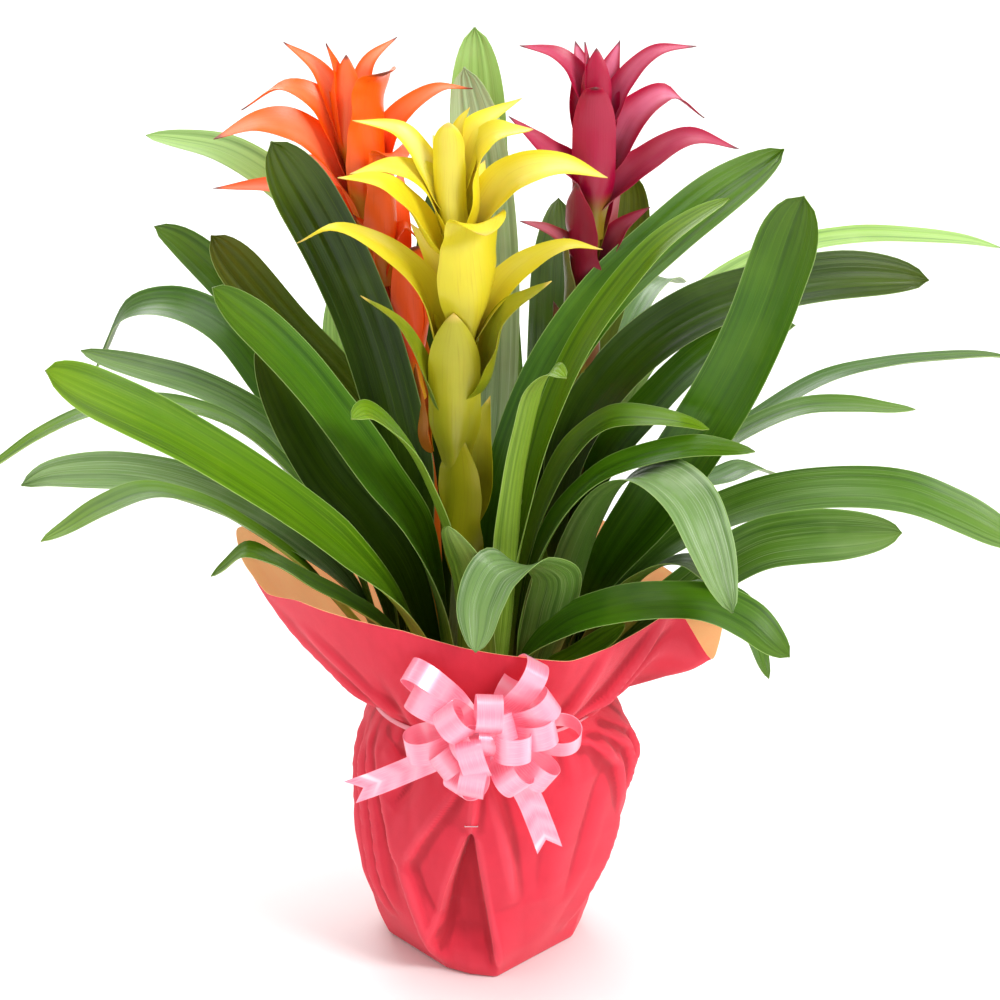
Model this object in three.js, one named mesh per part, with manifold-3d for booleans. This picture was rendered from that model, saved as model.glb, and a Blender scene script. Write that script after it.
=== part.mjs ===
// Three bromeliads, orange, yellow and magenta, in one round pot that is wrapped in red cloth, with a tie and
// a ribbon bow. Millimetres, +Z up. The origin is the middle of the wrapping's flat underside, and the bow is
// on the -Y side.
import * as THREE from 'three';
import { mergeVertices } from 'three/addons/utils/BufferGeometryUtils.js';
import Module from 'manifold-3d';

const wasm = await Module();
wasm.setup();

// ---- driving dimensions ----
const CLEARANCE = 0.3; // left between pieces that touch
const CLOTH = 2; // the wrapping cloth, in gathered layers
const POT = { height: 168, topRadius: 74, baseRadius: 54, wall: 2.5, rimHeight: 14, rimOut: 3, drain: 7 };
const ROUND_SIDES = 32; // of the pot and the soil
const SOIL_BELOW_RIM = 12;
// The cloth's belly, which is full between two heights and leans to the right, and how deep its gathers are.
const WRAP = { sides: 48, bellyLow: 60, bellyHigh: 120, lean: 6, gather: 3, collarGather: 5 };
const FOLDS = { belly: 9, collar: 14 }; // how many gathers go round
const TIE = { height: 186, radius: 81, width: 5, thick: 1.2, edge: 0.6 };
const RIBBON = { width: 18, thick: 0.9, notch: 11 };
const BOW_MIDDLE = { across: -2, above: 10, stands: 20, knot: 14 }; // above and out from the tie
const STAPLE = { crown: 9, wire: 0.6, across: -11, height: 130 };
// A blade is widest and starts to taper at shares of its length.
const LEAF = { thick: 1.1, baseWidth: 9, rows: 9, widest: 0.55, taperFrom: 0.7 };
const BRACT = { thick: 1.3, rows: 5, baseShare: 0.7, widest: 0.3, taperFrom: 0.35 };
const BRACT_TURN = 50; // how far a bract at a side turns its face to the front, in degrees
const CHANNEL = 0.12; // the depth of a blade's channel, as a share of its width
const SHOULDER = { bend: 1.8, flat: 0.8 }; // the powers that shape the round shoulders of a blade's tip
const CROWDING = 1.4; // how much closer a blade's rings stand near its tip, as a power
const STEM = { footRadius: 6, topRadius: 3.2, sides: 8, rows: 10 };
const RING = { inner: 10.5, middle: 15.5, outer: 20.5 }; // the radii on which a crown's leaves stand

const POT_FOOT = CLOTH + CLEARANCE; // the pot stands on the cloth
const POT_TOP = POT_FOOT + POT.height;
const SOIL_TOP = POT_TOP - SOIL_BELOW_RIM;
const PLANT_FOOT = SOIL_TOP + CLEARANCE;

// ---- helpers ----
const MERGE = 1e-3; // vertices nearer than this are one
const FINEST = 0.02; // edges shorter than this are left out of a joined piece
const part = new THREE.Group();

function addPiece(name, geometry, material) {
  const mesh = new THREE.Mesh(geometry, material);
  mesh.name = name;
  part.add(mesh);
}

function finish(color, roughness) {
  return new THREE.MeshStandardMaterial({ color, roughness, metalness: 0 });
}

function solidOf(geometry) {
  const bare = new THREE.BufferGeometry();
  bare.setAttribute('position', geometry.getAttribute('position'));
  bare.setIndex(geometry.getIndex());
  const merged = mergeVertices(bare, MERGE);
  const vertProperties = new Float32Array(merged.getAttribute('position').array);
  const triVerts = new Uint32Array(merged.getIndex().array);
  return new wasm.Manifold(new wasm.Mesh({ numProp: 3, vertProperties, triVerts }));
}

function geometryOf(solid) {
  const { vertProperties, triVerts } = solid.getMesh();
  const geometry = new THREE.BufferGeometry();
  geometry.setAttribute('position', new THREE.BufferAttribute(vertProperties, 3));
  geometry.setIndex(new THREE.BufferAttribute(triVerts, 1));
  return geometry;
}

function joined(geometries) {
  return geometryOf(geometries.map(solidOf).reduce((whole, piece) => whole.add(piece)).simplify(FINEST));
}

// A round piece: its outline, in radius and height, turned about Z.
function turned(outline, sides) {
  const points = outline.map(([radius, height]) => new THREE.Vector2(radius, height));
  return new THREE.LatheGeometry(points, sides).rotateX(Math.PI / 2);
}

function moveVertices(geometry, place) {
  const position = geometry.getAttribute('position');
  const point = new THREE.Vector3();
  for (let i = 0; i < position.count; i += 1) {
    const moved = place(point.fromBufferAttribute(position, i).clone());
    position.setXYZ(i, moved.x, moved.y, moved.z);
  }
  return geometry;
}

const UP = new THREE.Vector3(0, 0, 1);
const smooth = (from, to, x) => THREE.MathUtils.smoothstep(x, from, to);
const radians = THREE.MathUtils.degToRad;
const heading = (degrees) => new THREE.Vector3(Math.cos(radians(degrees)), Math.sin(radians(degrees)), 0);

// How wide a blade still is at a share of its length, once it tapers to its tip in a round-shouldered point.
function taper(share, from) {
  const gone = Math.max(0, (share - from) / (1 - from));
  return Math.max(0, 1 - gone ** SHOULDER.bend) ** SHOULDER.flat;
}

// A blade has rings of four points: its two edges and the middles of its two faces. sectionAt gives, for a
// share of the length, the middle point, the tangent, the side direction and the width.
function bladeGeometry({ rows, thick }, sectionAt) {
  const points = [];
  for (let row = 0; row < rows; row += 1) {
    const { middle, tangent, side, width } = sectionAt(1 - (1 - row / rows) ** CROWDING);
    const across = side.clone().addScaledVector(tangent, -side.dot(tangent)).normalize();
    const upwards = tangent.clone().cross(across);
    const keel = middle.clone().addScaledVector(upwards, -CHANNEL * width);
    points.push(
      middle.clone().addScaledVector(across, width / 2), keel.clone().addScaledVector(upwards, thick / 2),
      middle.clone().addScaledVector(across, -width / 2), keel.addScaledVector(upwards, -thick / 2));
  }
  const tip = points.push(sectionAt(1).middle) - 1;
  return new THREE.BufferGeometry().setFromPoints(points).setIndex(bladeFaces(rows, tip));
}

// Both faces of a blade are cut along the same lines, so that they stay apart where it twists.
function bladeFaces(rows, tip) {
  const faces = [1, 0, 3, 3, 2, 1]; // the foot
  for (let row = 0; row < rows; row += 1) {
    const [left, above, right, below] = [0, 1, 2, 3].map((corner) => 4 * row + corner);
    const quarters = [[left, above], [above, right], [right, below], [below, left]];
    quarters.forEach(([from, to], i) => {
      const [edge, face] = i % 2 === 0 ? [from, to] : [to, from];
      const triangles = row === rows - 1 ? [[edge, face, tip]]
        : [[edge, face, face + 4], [edge, face + 4, edge + 4]];
      faces.push(...triangles.flatMap((corners) => (i % 2 === 0 ? corners : corners.reverse())));
    });
  }
  return faces;
}

// ---- leaves ----
// A leaf points the way that around gives, in degrees from +X, and stands on its crown's ring on the side
// that foot gives, or else on that same side. rise lists its reach from the crown's axis, its height and,
// where it strays, how far it lies to its own left, as it goes out to its tip. roll turns its upper face to
// its left.
const CROWNS = {
  orange: {
    place: [-39, 25],
    leaves: [
      { around: 207, foot: 222, ring: 'middle', width: 38, roll: 35,
        rise: [[20, 326, 8], [46, 446, 4], [76, 524], [117, 596]] },
      { around: 158, foot: 100, ring: 'inner', width: 30, roll: 10,
        rise: [[22, 360, -8], [76, 511], [156, 566], [219, 570]] },
      { around: 172, ring: 'middle', width: 32, roll: 35,
        rise: [[40, 325], [121, 449], [169, 503], [195, 518]] },
      { around: 180, foot: 160, ring: 'inner', width: 28, roll: 30,
        rise: [[32, 361, -4], [98, 450, -4], [151, 518]] },
      { around: 150, foot: 138, ring: 'outer', width: 32, roll: 30,
        rise: [[26, 230, -5], [52, 295, -8], [111, 359, -4], [183, 432], [258, 433], [295, 376]] },
      { around: 164, foot: 169, ring: 'outer', width: 28, roll: 10,
        rise: [[31, 230], [72, 328], [150, 388], [265, 414]] },
      { around: 184, foot: 197, ring: 'outer', width: 26, roll: 5,
        rise: [[61, 296], [141, 389], [203, 404], [259, 390], [323, 349]] },
      { around: 193, foot: 224, ring: 'outer', width: 36, roll: 30,
        rise: [[60, 270, 6], [178, 354], [267, 366], [288, 359]] },
      { around: 206, foot: 251, ring: 'outer', width: 26, roll: 10,
        rise: [[62, 246, 12], [123, 317, 4], [210, 366], [289, 341]] },
      { around: 126, foot: 122, ring: 'middle', width: 30,
        rise: [[22, 230], [50, 306, -4], [102, 364, 1], [124, 452]] },
      { around: 40, foot: 35, ring: 'inner', width: 30,
        rise: [[40, 345, -8], [48, 462, -8], [44, 545, -6], [30, 631]] },
      { around: 106, ring: 'outer', width: 34,
        rise: [[32, 225, -4], [62, 285, -4], [110, 390], [185, 425], [245, 400]] },
      { around: 88, ring: 'middle', width: 34, rise: [[35, 330], [75, 450], [125, 530]] },
      { around: 70, ring: 'outer', width: 34, rise: [[60, 285], [140, 350], [220, 350], [260, 310]] },
    ],
  },
  yellow: {
    place: [-5, -40],
    leaves: [
      { around: 198, foot: 205, ring: 'middle', width: 42, roll: 45,
        rise: [[33, 312], [57, 354], [132, 464], [183, 515]] },
      { around: 208, foot: 214, ring: 'outer', width: 40, roll: 45,
        rise: [[46, 262], [98, 330], [210, 424], [308, 486]] },
      { around: 182, foot: 168, ring: 'middle', width: 38, roll: 40,
        rise: [[50, 290, -6], [110, 375, -4], [150, 461]] },
      { around: 225, ring: 'inner', width: 32, roll: 30,
        rise: [[15, 286], [41, 362], [75, 416], [109, 438], [118, 434]] },
      { around: 186, foot: 184, ring: 'outer', width: 30,
        rise: [[56, 250], [131, 306, 8], [158, 322, 6], [186, 300]] },
      { around: 248, foot: 262, ring: 'middle', width: 30, roll: 30,
        rise: [[30, 280, 8], [44, 318, 8], [66, 352, 4]] },
      { around: 305, foot: 300, ring: 'inner', width: 28, roll: -20,
        rise: [[25, 283], [40, 381], [75, 461], [98, 461]] },
      { around: 342, foot: 300, ring: 'outer', width: 34, roll: -30,
        rise: [[30, 236, -20], [65, 273, -16], [122, 292, -8], [178, 290], [220, 260]] },
      { around: 350, foot: 328, ring: 'outer', width: 26, roll: -20,
        rise: [[45, 226, -14], [73, 246, -12], [101, 264]] },
      { around: 356, foot: 18, ring: 'outer', width: 32, roll: -10,
        rise: [[34, 300], [75, 366], [143, 391], [187, 388]] },
      { around: 4, foot: 46, ring: 'outer', width: 32, roll: -10,
        rise: [[40, 328, 25], [82, 398, 16], [131, 404, 2], [157, 396]] },
      { around: 26, foot: 57, ring: 'inner', width: 36, roll: -45,
        rise: [[14, 324, 7], [69, 457], [168, 536], [234, 570]] },
      { around: 12, foot: 2, ring: 'inner', width: 28, roll: -30,
        rise: [[23, 328, -9], [64, 450, -4], [131, 531], [172, 552]] },
      { around: 270, foot: 343, ring: 'middle', width: 34,
        rise: [[10, 256, 44], [22, 290, 50], [36, 313, 50], [50, 323, 34], [62, 326, 17], [72, 312, 3],
          [80, 268, -3]] },
    ],
  },
  magenta: {
    place: [39, 25],
    leaves: [
      { around: 338, foot: 349, ring: 'middle', width: 40, roll: -45,
        rise: [[24, 244], [72, 319], [142, 441], [184, 563]] },
      { around: 8, foot: 300, ring: 'inner', width: 38, roll: -40,
        rise: [[12, 366, -20], [54, 431, -18], [109, 464, -6], [223, 483], [274, 476]] },
      { around: 25, foot: 45, ring: 'middle', width: 30, roll: -10,
        rise: [[44, 330, 6], [88, 430, 2], [194, 489], [330, 481], [375, 468]] },
      { around: 358, foot: 313, ring: 'middle', width: 36, roll: -30,
        rise: [[24, 325, -14], [73, 400, -10], [128, 447], [174, 456]] },
      { around: 20, foot: 25, ring: 'outer', width: 24,
        rise: [[28, 232, 3], [64, 296, 4], [118, 339], [217, 394], [353, 397], [372, 392]] },
      { around: 6, foot: 358, ring: 'outer', width: 26, roll: -10,
        rise: [[30, 230], [60, 288], [104, 346], [183, 389], [266, 384]] },
      { around: 354, foot: 331, ring: 'outer', width: 36, roll: -25,
        rise: [[34, 232], [68, 280], [138, 328], [249, 342], [341, 304]] },
      { around: 343, foot: 304, ring: 'outer', width: 34, roll: -25,
        rise: [[50, 220, -8], [100, 265, -6], [156, 308], [256, 328]] },
      { around: 308, foot: 250, ring: 'inner', width: 42, roll: -10,
        rise: [[26, 250, -8], [54, 328, -4], [98, 376], [155, 371], [201, 302]] },
      { around: 328, foot: 277, ring: 'outer', width: 28,
        rise: [[60, 235, -6], [118, 286, -4], [158, 281], [183, 229]] },
      { around: 318, foot: 275, ring: 'middle', width: 28,
        rise: [[50, 240], [89, 292], [132, 314], [163, 300]] },
      { around: 55, foot: 65, ring: 'inner', width: 28, roll: -20,
        rise: [[30, 330, 4], [80, 440, 4], [116, 515], [100, 545]] },
      { around: 38, foot: 53, ring: 'outer', width: 30,
        rise: [[34, 222, 3], [58, 266], [110, 305], [168, 308], [201, 310], [229, 294]] },
      { around: 125, ring: 'middle', width: 32, rise: [[45, 312], [66, 458], [78, 560], [84, 649]] },
      { around: 65, foot: 81, ring: 'outer', width: 34,
        rise: [[50, 300], [110, 400], [190, 440], [260, 420]] },
      { around: 85, ring: 'middle', width: 34, rise: [[35, 320], [80, 440], [140, 510]] },
      { around: 102, foot: 109, ring: 'outer', width: 34,
        rise: [[60, 275], [130, 340], [200, 350], [245, 310]] },
    ],
  },
};

function leafGeometry([x, y], { around, foot = around, ring, width, roll = 0, rise }) {
  const outward = heading(around);
  const left = UP.clone().cross(outward);
  const crown = new THREE.Vector3(x, y, 0);
  const start = crown.clone().addScaledVector(heading(foot), RING[ring]).setZ(PLANT_FOOT);
  const points = rise.map(([reach, height, aside = 0]) =>
    crown.clone().addScaledVector(outward, reach).addScaledVector(left, aside).setZ(height));
  const line = new THREE.CatmullRomCurve3([start, ...points], false, 'centripetal');
  const footSide = UP.clone().cross(heading(foot));
  return bladeGeometry(LEAF, (share) => {
    const tangent = share === 0 ? UP : line.getTangentAt(share);
    const side = footSide.clone().lerp(left, smooth(0, 0.35, share));
    side.applyAxisAngle(tangent, -radians(roll) * smooth(0.1, LEAF.widest, share));
    const full = THREE.MathUtils.lerp(LEAF.baseWidth, width, smooth(0.08, LEAF.widest, share));
    return { middle: line.getPointAt(share), tangent, side, width: full * taper(share, LEAF.taperFrom) };
  });
}

// ---- flower spikes ----
// A spike is a stem and the bracts that grow on it. A bract leaves the stem at the height in from, on the
// side that around gives, and rise lists its reach from the stem and its climb above its foot, to its tip.
const SPIKES = {
  orange: {
    colour: 0xf2521b,
    stem: [[-39, 25, PLANT_FOOT], [-41, 29, 336], [-62, 30, 448], [-79, 32, 515], [-99, 34, 606]],
    bracts: [
      { from: 585, around: 172, width: 12, rise: [[6, 24], [22, 56], [47, 74]] },
      { from: 550, around: 188, width: 17, rise: [[8, 30], [28, 70], [54, 82], [83, 66]] },
      { from: 535, around: 196, width: 16, rise: [[12, 34], [48, 70], [76, 76], [108, 66]] },
      { from: 590, around: 200, width: 14, rise: [[4, 25], [8, 50], [16, 70]] },
      { from: 600, around: 270, width: 13, rise: [[3, 20], [4, 40], [5, 58]] },
      { from: 560, around: 335, width: 21, rise: [[5, 30], [8, 60], [16, 88], [27, 93]] },
      { from: 590, around: 30, width: 10, rise: [[5, 25], [14, 55], [37, 70]] },
      { from: 545, around: 5, width: 14, rise: [[6, 30], [20, 62], [50, 83], [74, 82]] },
      { from: 524, around: 318, width: 28, rise: [[4, 25], [10, 50], [24, 66], [34, 58]] },
      { from: 510, around: 172, width: 12, rise: [[12, 22], [60, 40], [114, 36]] },
      { from: 520, around: 150, width: 14, rise: [[10, 20], [45, 42], [80, 40]] },
      { from: 495, around: 340, width: 14, rise: [[6, 18], [18, 30], [28, 22]] },
      { from: 470, around: 215, width: 22, rise: [[7, 25], [14, 50], [30, 66]] },
      { from: 430, around: 275, width: 24, rise: [[7, 30], [9, 56], [7, 80]] },
      { from: 425, around: 350, width: 14, rise: [[6, 30], [8, 55], [10, 80]] },
      { from: 545, around: 95, width: 18, rise: [[8, 28], [28, 60], [60, 75]] },
      { from: 480, around: 80, width: 22, rise: [[8, 25], [25, 55], [55, 70]] },
      { from: 385, around: 110, width: 20, rise: [[8, 30], [14, 60], [24, 80]] },
      { from: 360, around: 235, width: 20, rise: [[7, 25], [9, 50], [12, 72]] },
    ],
  },
  yellow: {
    colour: 0xf4d23a,
    stem: [[-5, -40, PLANT_FOOT], [-16, -40, 304], [-22, -40, 388], [-16, -40, 482], [-23, -41, 553],
      [-30, -42, 598]],
    bracts: [
      { from: 560, around: 185, width: 13, rise: [[6, 14], [15, 32], [34, 57], [66, 64]] },
      { from: 575, around: 260, width: 19, rise: [[4, 20], [6, 38], [7, 52]] },
      { from: 585, around: 10, width: 10, rise: [[3, 15], [8, 35], [15, 46]] },
      { from: 570, around: 20, width: 15, rise: [[5, 22], [18, 48], [50, 64]] },
      { from: 550, around: 340, width: 19, rise: [[5, 28], [9, 50], [24, 62], [54, 64]] },
      { from: 545, around: 195, width: 17, rise: [[6, 22], [18, 40], [44, 50], [72, 46]] },
      { from: 520, around: 210, width: 17, rise: [[14, 16], [34, 42], [58, 60], [90, 66]] },
      { from: 540, around: 350, width: 15, rise: [[10, 18], [34, 41], [68, 49], [101, 40]] },
      { from: 482, around: 300, width: 31, rise: [[6, 30], [12, 56], [26, 70], [40, 62]] },
      { from: 425, around: 190, width: 15, rise: [[8, 40], [22, 80], [60, 112], [84, 120], [108, 110]] },
      { from: 455, around: 355, width: 15, rise: [[8, 22], [25, 47], [44, 64], [70, 76], [94, 73]] },
      { from: 387, around: 265, width: 34, rise: [[8, 40], [10, 72], [8, 98]] },
      { from: 420, around: 330, width: 24, rise: [[12, 20], [22, 42], [34, 66], [72, 94]] },
      { from: 390, around: 205, width: 10, rise: [[12, 36], [38, 88], [68, 112]] },
      { from: 545, around: 110, width: 17, rise: [[6, 22], [20, 46], [48, 58]] },
      { from: 505, around: 75, width: 20, rise: [[8, 25], [25, 55], [60, 68]] },
      { from: 455, around: 135, width: 20, rise: [[8, 28], [22, 58], [50, 80]] },
      { from: 300, around: 245, width: 28, rise: [[6, 35], [9, 70], [8, 98]] },
      { from: 330, around: 40, width: 24, rise: [[7, 30], [14, 60], [26, 88]] },
    ],
  },
  magenta: {
    colour: 0xc71a4e,
    stem: [[39, 25, PLANT_FOOT], [52, 29, 290], [61, 30, 383], [70, 30, 480], [74, 31, 622]],
    bracts: [
      { from: 616, around: 270, width: 17, rise: [[3, 14], [4, 28], [3, 42]] },
      { from: 610, around: 200, width: 10, rise: [[4, 20], [8, 48]] },
      { from: 605, around: 185, width: 12, rise: [[6, 20], [17, 38], [28, 46], [52, 51]] },
      { from: 590, around: 140, width: 20, rise: [[5, 22], [10, 45], [18, 66]] },
      { from: 590, around: 355, width: 12, rise: [[8, 18], [18, 40], [40, 62], [68, 66]] },
      { from: 590, around: 40, width: 18, rise: [[5, 22], [12, 45], [22, 66]] },
      { from: 545, around: 272, width: 22, rise: [[7, 30], [9, 58], [6, 82]] },
      { from: 560, around: 5, width: 20, rise: [[10, 22], [26, 48], [50, 62], [76, 44]] },
      { from: 550, around: 195, width: 14, rise: [[8, 12], [34, 32], [60, 54]] },
      { from: 560, around: 120, width: 18, rise: [[6, 15], [14, 32], [24, 40]] },
      { from: 535, around: 352, width: 16, rise: [[12, 18], [34, 36], [66, 54], [100, 46]] },
      { from: 480, around: 255, width: 30, rise: [[8, 30], [14, 56], [16, 80]] },
      { from: 485, around: 345, width: 16, rise: [[8, 18], [22, 40], [42, 55]] },
      { from: 490, around: 200, width: 9, rise: [[10, 18], [30, 34], [52, 42]] },
      { from: 440, around: 215, width: 24, rise: [[8, 30], [12, 58], [16, 82]] },
      { from: 520, around: 85, width: 20, rise: [[8, 25], [25, 55], [58, 66]] },
      { from: 465, around: 60, width: 22, rise: [[8, 28], [22, 56], [48, 74]] },
      { from: 430, around: 320, width: 20, rise: [[7, 28], [10, 50], [14, 70]] },
      { from: 385, around: 130, width: 20, rise: [[8, 30], [14, 60], [24, 80]] },
      { from: 338, around: 260, width: 17, rise: [[5, 20], [6, 34], [7, 46]] },
    ],
  },
};

function stemGeometry(line) {
  const { footRadius, topRadius, sides, rows } = STEM;
  return moveVertices(new THREE.CylinderGeometry(topRadius, footRadius, 1, sides, rows), (v) =>
    line.getPointAt(v.y + 0.5).add(new THREE.Vector3(v.x, -v.z, 0)));
}

// The point at a height on a line that only goes up, found by halving.
function pointAtHeight(line, height) {
  let [low, high] = [0, 1];
  while (high - low > MERGE / 10) {
    const middle = (low + high) / 2;
    if (line.getPointAt(middle).z < height) low = middle;
    else high = middle;
  }
  return line.getPointAt(low);
}

function bractGeometry(stem, { from, around, width, rise }) {
  const foot = pointAtHeight(stem, from);
  const outward = heading(around);
  const points = [[0, 0], ...rise].map(([reach, climb]) =>
    foot.clone().addScaledVector(outward, reach).addScaledVector(UP, climb));
  const line = new THREE.CatmullRomCurve3(points, false, 'centripetal');
  const turn = radians(BRACT_TURN) * Math.cos(radians(around));
  const side = UP.clone().cross(outward).applyAxisAngle(line.getTangentAt(0.5), turn);
  return bladeGeometry(BRACT, (share) => {
    const full = width * THREE.MathUtils.lerp(BRACT.baseShare, 1, smooth(0, BRACT.widest, share));
    return { middle: line.getPointAt(share), tangent: line.getTangentAt(share), side,
      width: full * taper(share, BRACT.taperFrom) };
  });
}

// ---- pot and soil ----
const potRadius = (height) =>
  THREE.MathUtils.mapLinear(height, POT_FOOT, POT_TOP, POT.baseRadius, POT.topRadius);

function potGeometry() {
  const { wall, rimHeight, rimOut, drain } = POT;
  const underRim = POT_TOP - rimHeight;
  const floor = POT_FOOT + wall;
  return turned([
    [drain, POT_FOOT], [POT.baseRadius, POT_FOOT], [potRadius(underRim), underRim],
    [potRadius(underRim) + rimOut, underRim], [POT.topRadius + rimOut, POT_TOP],
    [POT.topRadius - wall, POT_TOP], [potRadius(floor) - wall, floor], [drain, floor], [drain, POT_FOOT],
  ], ROUND_SIDES);
}

function soilGeometry() {
  const inside = (height) => potRadius(height) - POT.wall - CLEARANCE;
  const floor = POT_FOOT + POT.wall + CLEARANCE;
  const outline = [[0, floor], [inside(floor), floor], [inside(SOIL_TOP), SOIL_TOP], [0, SOIL_TOP]];
  return turned(outline, ROUND_SIDES);
}

// ---- wrapping cloth ----
// The cloth's outside as a round profile, in radius and height, from its base to the collar's edge.
const BODY = [[60, 0], [68, 4], [78, 25], [88, 60], [95, 100], [97, 140], [92, 165], [83, 177], [81, 183],
  [81, 189]];
const COLLAR = [[84, 198], [97, 220], [115, 250], [132, 276]];
// The collar's edge every 30 degrees from +X: its distance from the axis and its height.
const EDGE = [[164, 236], [140, 262], [150, 278], [124, 276], [160, 300], [146, 284], [177, 313], [154, 291],
  [116, 276], [101, 260], [112, 252], [124, 262]];
const edgePoints = EDGE.map(([reach, height]) => new THREE.Vector3(reach, height, 0));
const edge = new THREE.CatmullRomCurve3(edgePoints, true, 'catmullrom');

function bodyRadius(height) {
  const next = BODY.findIndex((point) => point[1] > height);
  const [[radius, low], [nextRadius, high]] = [BODY[next - 1], BODY[next]];
  return THREE.MathUtils.mapLinear(height, low, high, radius, nextRadius);
}

// Moves a point of the round profile to where the gathered cloth has it.
function clothPlace(point) {
  const radius = Math.hypot(point.x, point.y);
  if (radius < MERGE) return point;
  const turn = (Math.atan2(point.y, point.x) / (2 * Math.PI) + 1) % 1;
  const neckHeight = BODY.at(-1)[1];
  const [edgeRadius, edgeHeight] = COLLAR.at(-1);
  const share = Math.max(0, (point.z - neckHeight) / (edgeHeight - neckHeight));
  const goal = edge.getPoint(turn);
  const underTie = TIE.height - TIE.width;
  const belly = smooth(0, WRAP.bellyLow, point.z) * (1 - smooth(WRAP.bellyHigh, underTie, point.z));
  const wave = (folds) => Math.sin(folds * 2 * Math.PI * turn);
  const gather = WRAP.gather * belly * wave(FOLDS.belly)
    + WRAP.collarGather * smooth(0, 0.5, share) * wave(FOLDS.collar);
  const grown = (radius + share * (goal.x - edgeRadius) + gather) / radius;
  return new THREE.Vector3(point.x * grown + WRAP.lean * belly, point.y * grown,
    point.z + share * (goal.y - edgeHeight));
}

function clothGeometry() {
  const outside = [...BODY, ...COLLAR];
  const inCollar = new THREE.Vector2(-0.8, 0.6).multiplyScalar(CLOTH); // square to the sloping collar
  const inside = [
    ...BODY.map(([radius, height]) => [radius - CLOTH, Math.max(height, CLOTH)]),
    ...COLLAR.map(([radius, height]) => [radius + inCollar.x, height + inCollar.y]),
  ];
  const outline = [[0, 0], ...outside, ...inside.reverse(), [0, CLOTH]];
  return moveVertices(turned(outline, WRAP.sides), clothPlace);
}

function tieGeometry() {
  const inner = TIE.radius + CLEARANCE;
  const [low, high] = [TIE.height - TIE.width / 2, TIE.height + TIE.width / 2];
  return turned([[inner + TIE.edge, low], [inner + TIE.thick, low], [inner + TIE.thick, high],
    [inner + TIE.edge, high], [inner, TIE.height], [inner + TIE.edge, low]], WRAP.sides);
}

// ---- bow ----
// Its loops, as seen from the front: the way each points, in degrees from the right, how far it lifts off
// towards the viewer, in degrees, and its length.
const LOOPS = [[128, 24, 72], [168, 18, 56], [54, 24, 70], [22, 20, 52], [115, 60, 38], [70, 60, 36],
  [203, 18, 56], [238, 42, 42], [265, 18, 42], [-20, 60, 36], [-48, 38, 44], [-4, 18, 62], [-33, 12, 52]];
const LOOP_HEIGHT = 0.19; // half of a loop's height, as a share of its length
const TAIL_ENDS = [[-98, -82, 166], [35, -112, 110]];
const BOW_SEAT = -(TIE.radius + TIE.thick + 2 * CLEARANCE); // on the front of the tie
const BOW = new THREE.Vector3(BOW_MIDDLE.across, BOW_SEAT - BOW_MIDDLE.stands, TIE.height + BOW_MIDDLE.above);
const TO_VIEWER = new THREE.Vector3(0, -1, 0);

// Stands a geometry made in the X-Y plane on the bow, its X along one direction and its Y towards another.
function onBow(geometry, along, towards) {
  const across = along.clone().cross(towards).normalize();
  const upright = across.clone().cross(along);
  return geometry.applyMatrix4(new THREE.Matrix4().makeBasis(along, upright, across).setPosition(BOW));
}

function loopGeometry([way, lift, length]) {
  const near = BOW_MIDDLE.knot / 2;
  const half = (length - near) / 2;
  const outline = new THREE.Shape().absellipse(near + half, 0, half, length * LOOP_HEIGHT, 0, 2 * Math.PI);
  const thickness = { depth: RIBBON.width, bevelEnabled: false, curveSegments: 4 };
  const loop = new THREE.ExtrudeGeometry(outline, thickness);
  const along = new THREE.Vector3(Math.cos(radians(way)), 0, Math.sin(radians(way)))
    .multiplyScalar(Math.cos(radians(lift))).addScaledVector(TO_VIEWER, Math.sin(radians(lift)));
  return onBow(loop.translate(0, 0, -RIBBON.width / 2), along, TO_VIEWER);
}

function tailGeometry(end) {
  const along = new THREE.Vector3(...end).sub(BOW);
  const length = along.length();
  const half = RIBBON.width / 2;
  const corners = [[0, -half], [length, -half], [length - RIBBON.notch, 0], [length, half], [0, half]];
  const outline = new THREE.Shape(corners.map(([x, y]) => new THREE.Vector2(x, y)));
  const strip = new THREE.ExtrudeGeometry(outline, { depth: RIBBON.thick, bevelEnabled: false });
  along.normalize();
  return onBow(strip, along, along.clone().cross(TO_VIEWER));
}

function bowGeometry() {
  const { knot, stands } = BOW_MIDDLE;
  const ball = new THREE.SphereGeometry(knot, 10, 6).translate(BOW.x, BOW.y, BOW.z);
  const seat = new THREE.CylinderGeometry(TIE.width, TIE.width, stands, 10)
    .translate(BOW.x, BOW_SEAT - stands / 2, TIE.height);
  return joined([seat, ball, ...LOOPS.map(loopGeometry), ...TAIL_ENDS.map(tailGeometry)]);
}

// ---- the object ----
function addLeaves() {
  const material = finish(0x4d7d22, 0.4);
  for (const [colour, { place, leaves }] of Object.entries(CROWNS)) {
    leaves.forEach((leaf, i) => addPiece(`${colour}_leaf_${i + 1}`, leafGeometry(place, leaf), material));
  }
}

function addSpikes() {
  for (const [name, { colour, stem, bracts }] of Object.entries(SPIKES)) {
    const line = new THREE.CatmullRomCurve3(stem.map((point) => new THREE.Vector3(...point)));
    const pieces = [stemGeometry(line), ...bracts.map((bract) => bractGeometry(line, bract))];
    addPiece(`${name}_spike`, joined(pieces), finish(colour, 0.45));
  }
}

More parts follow.
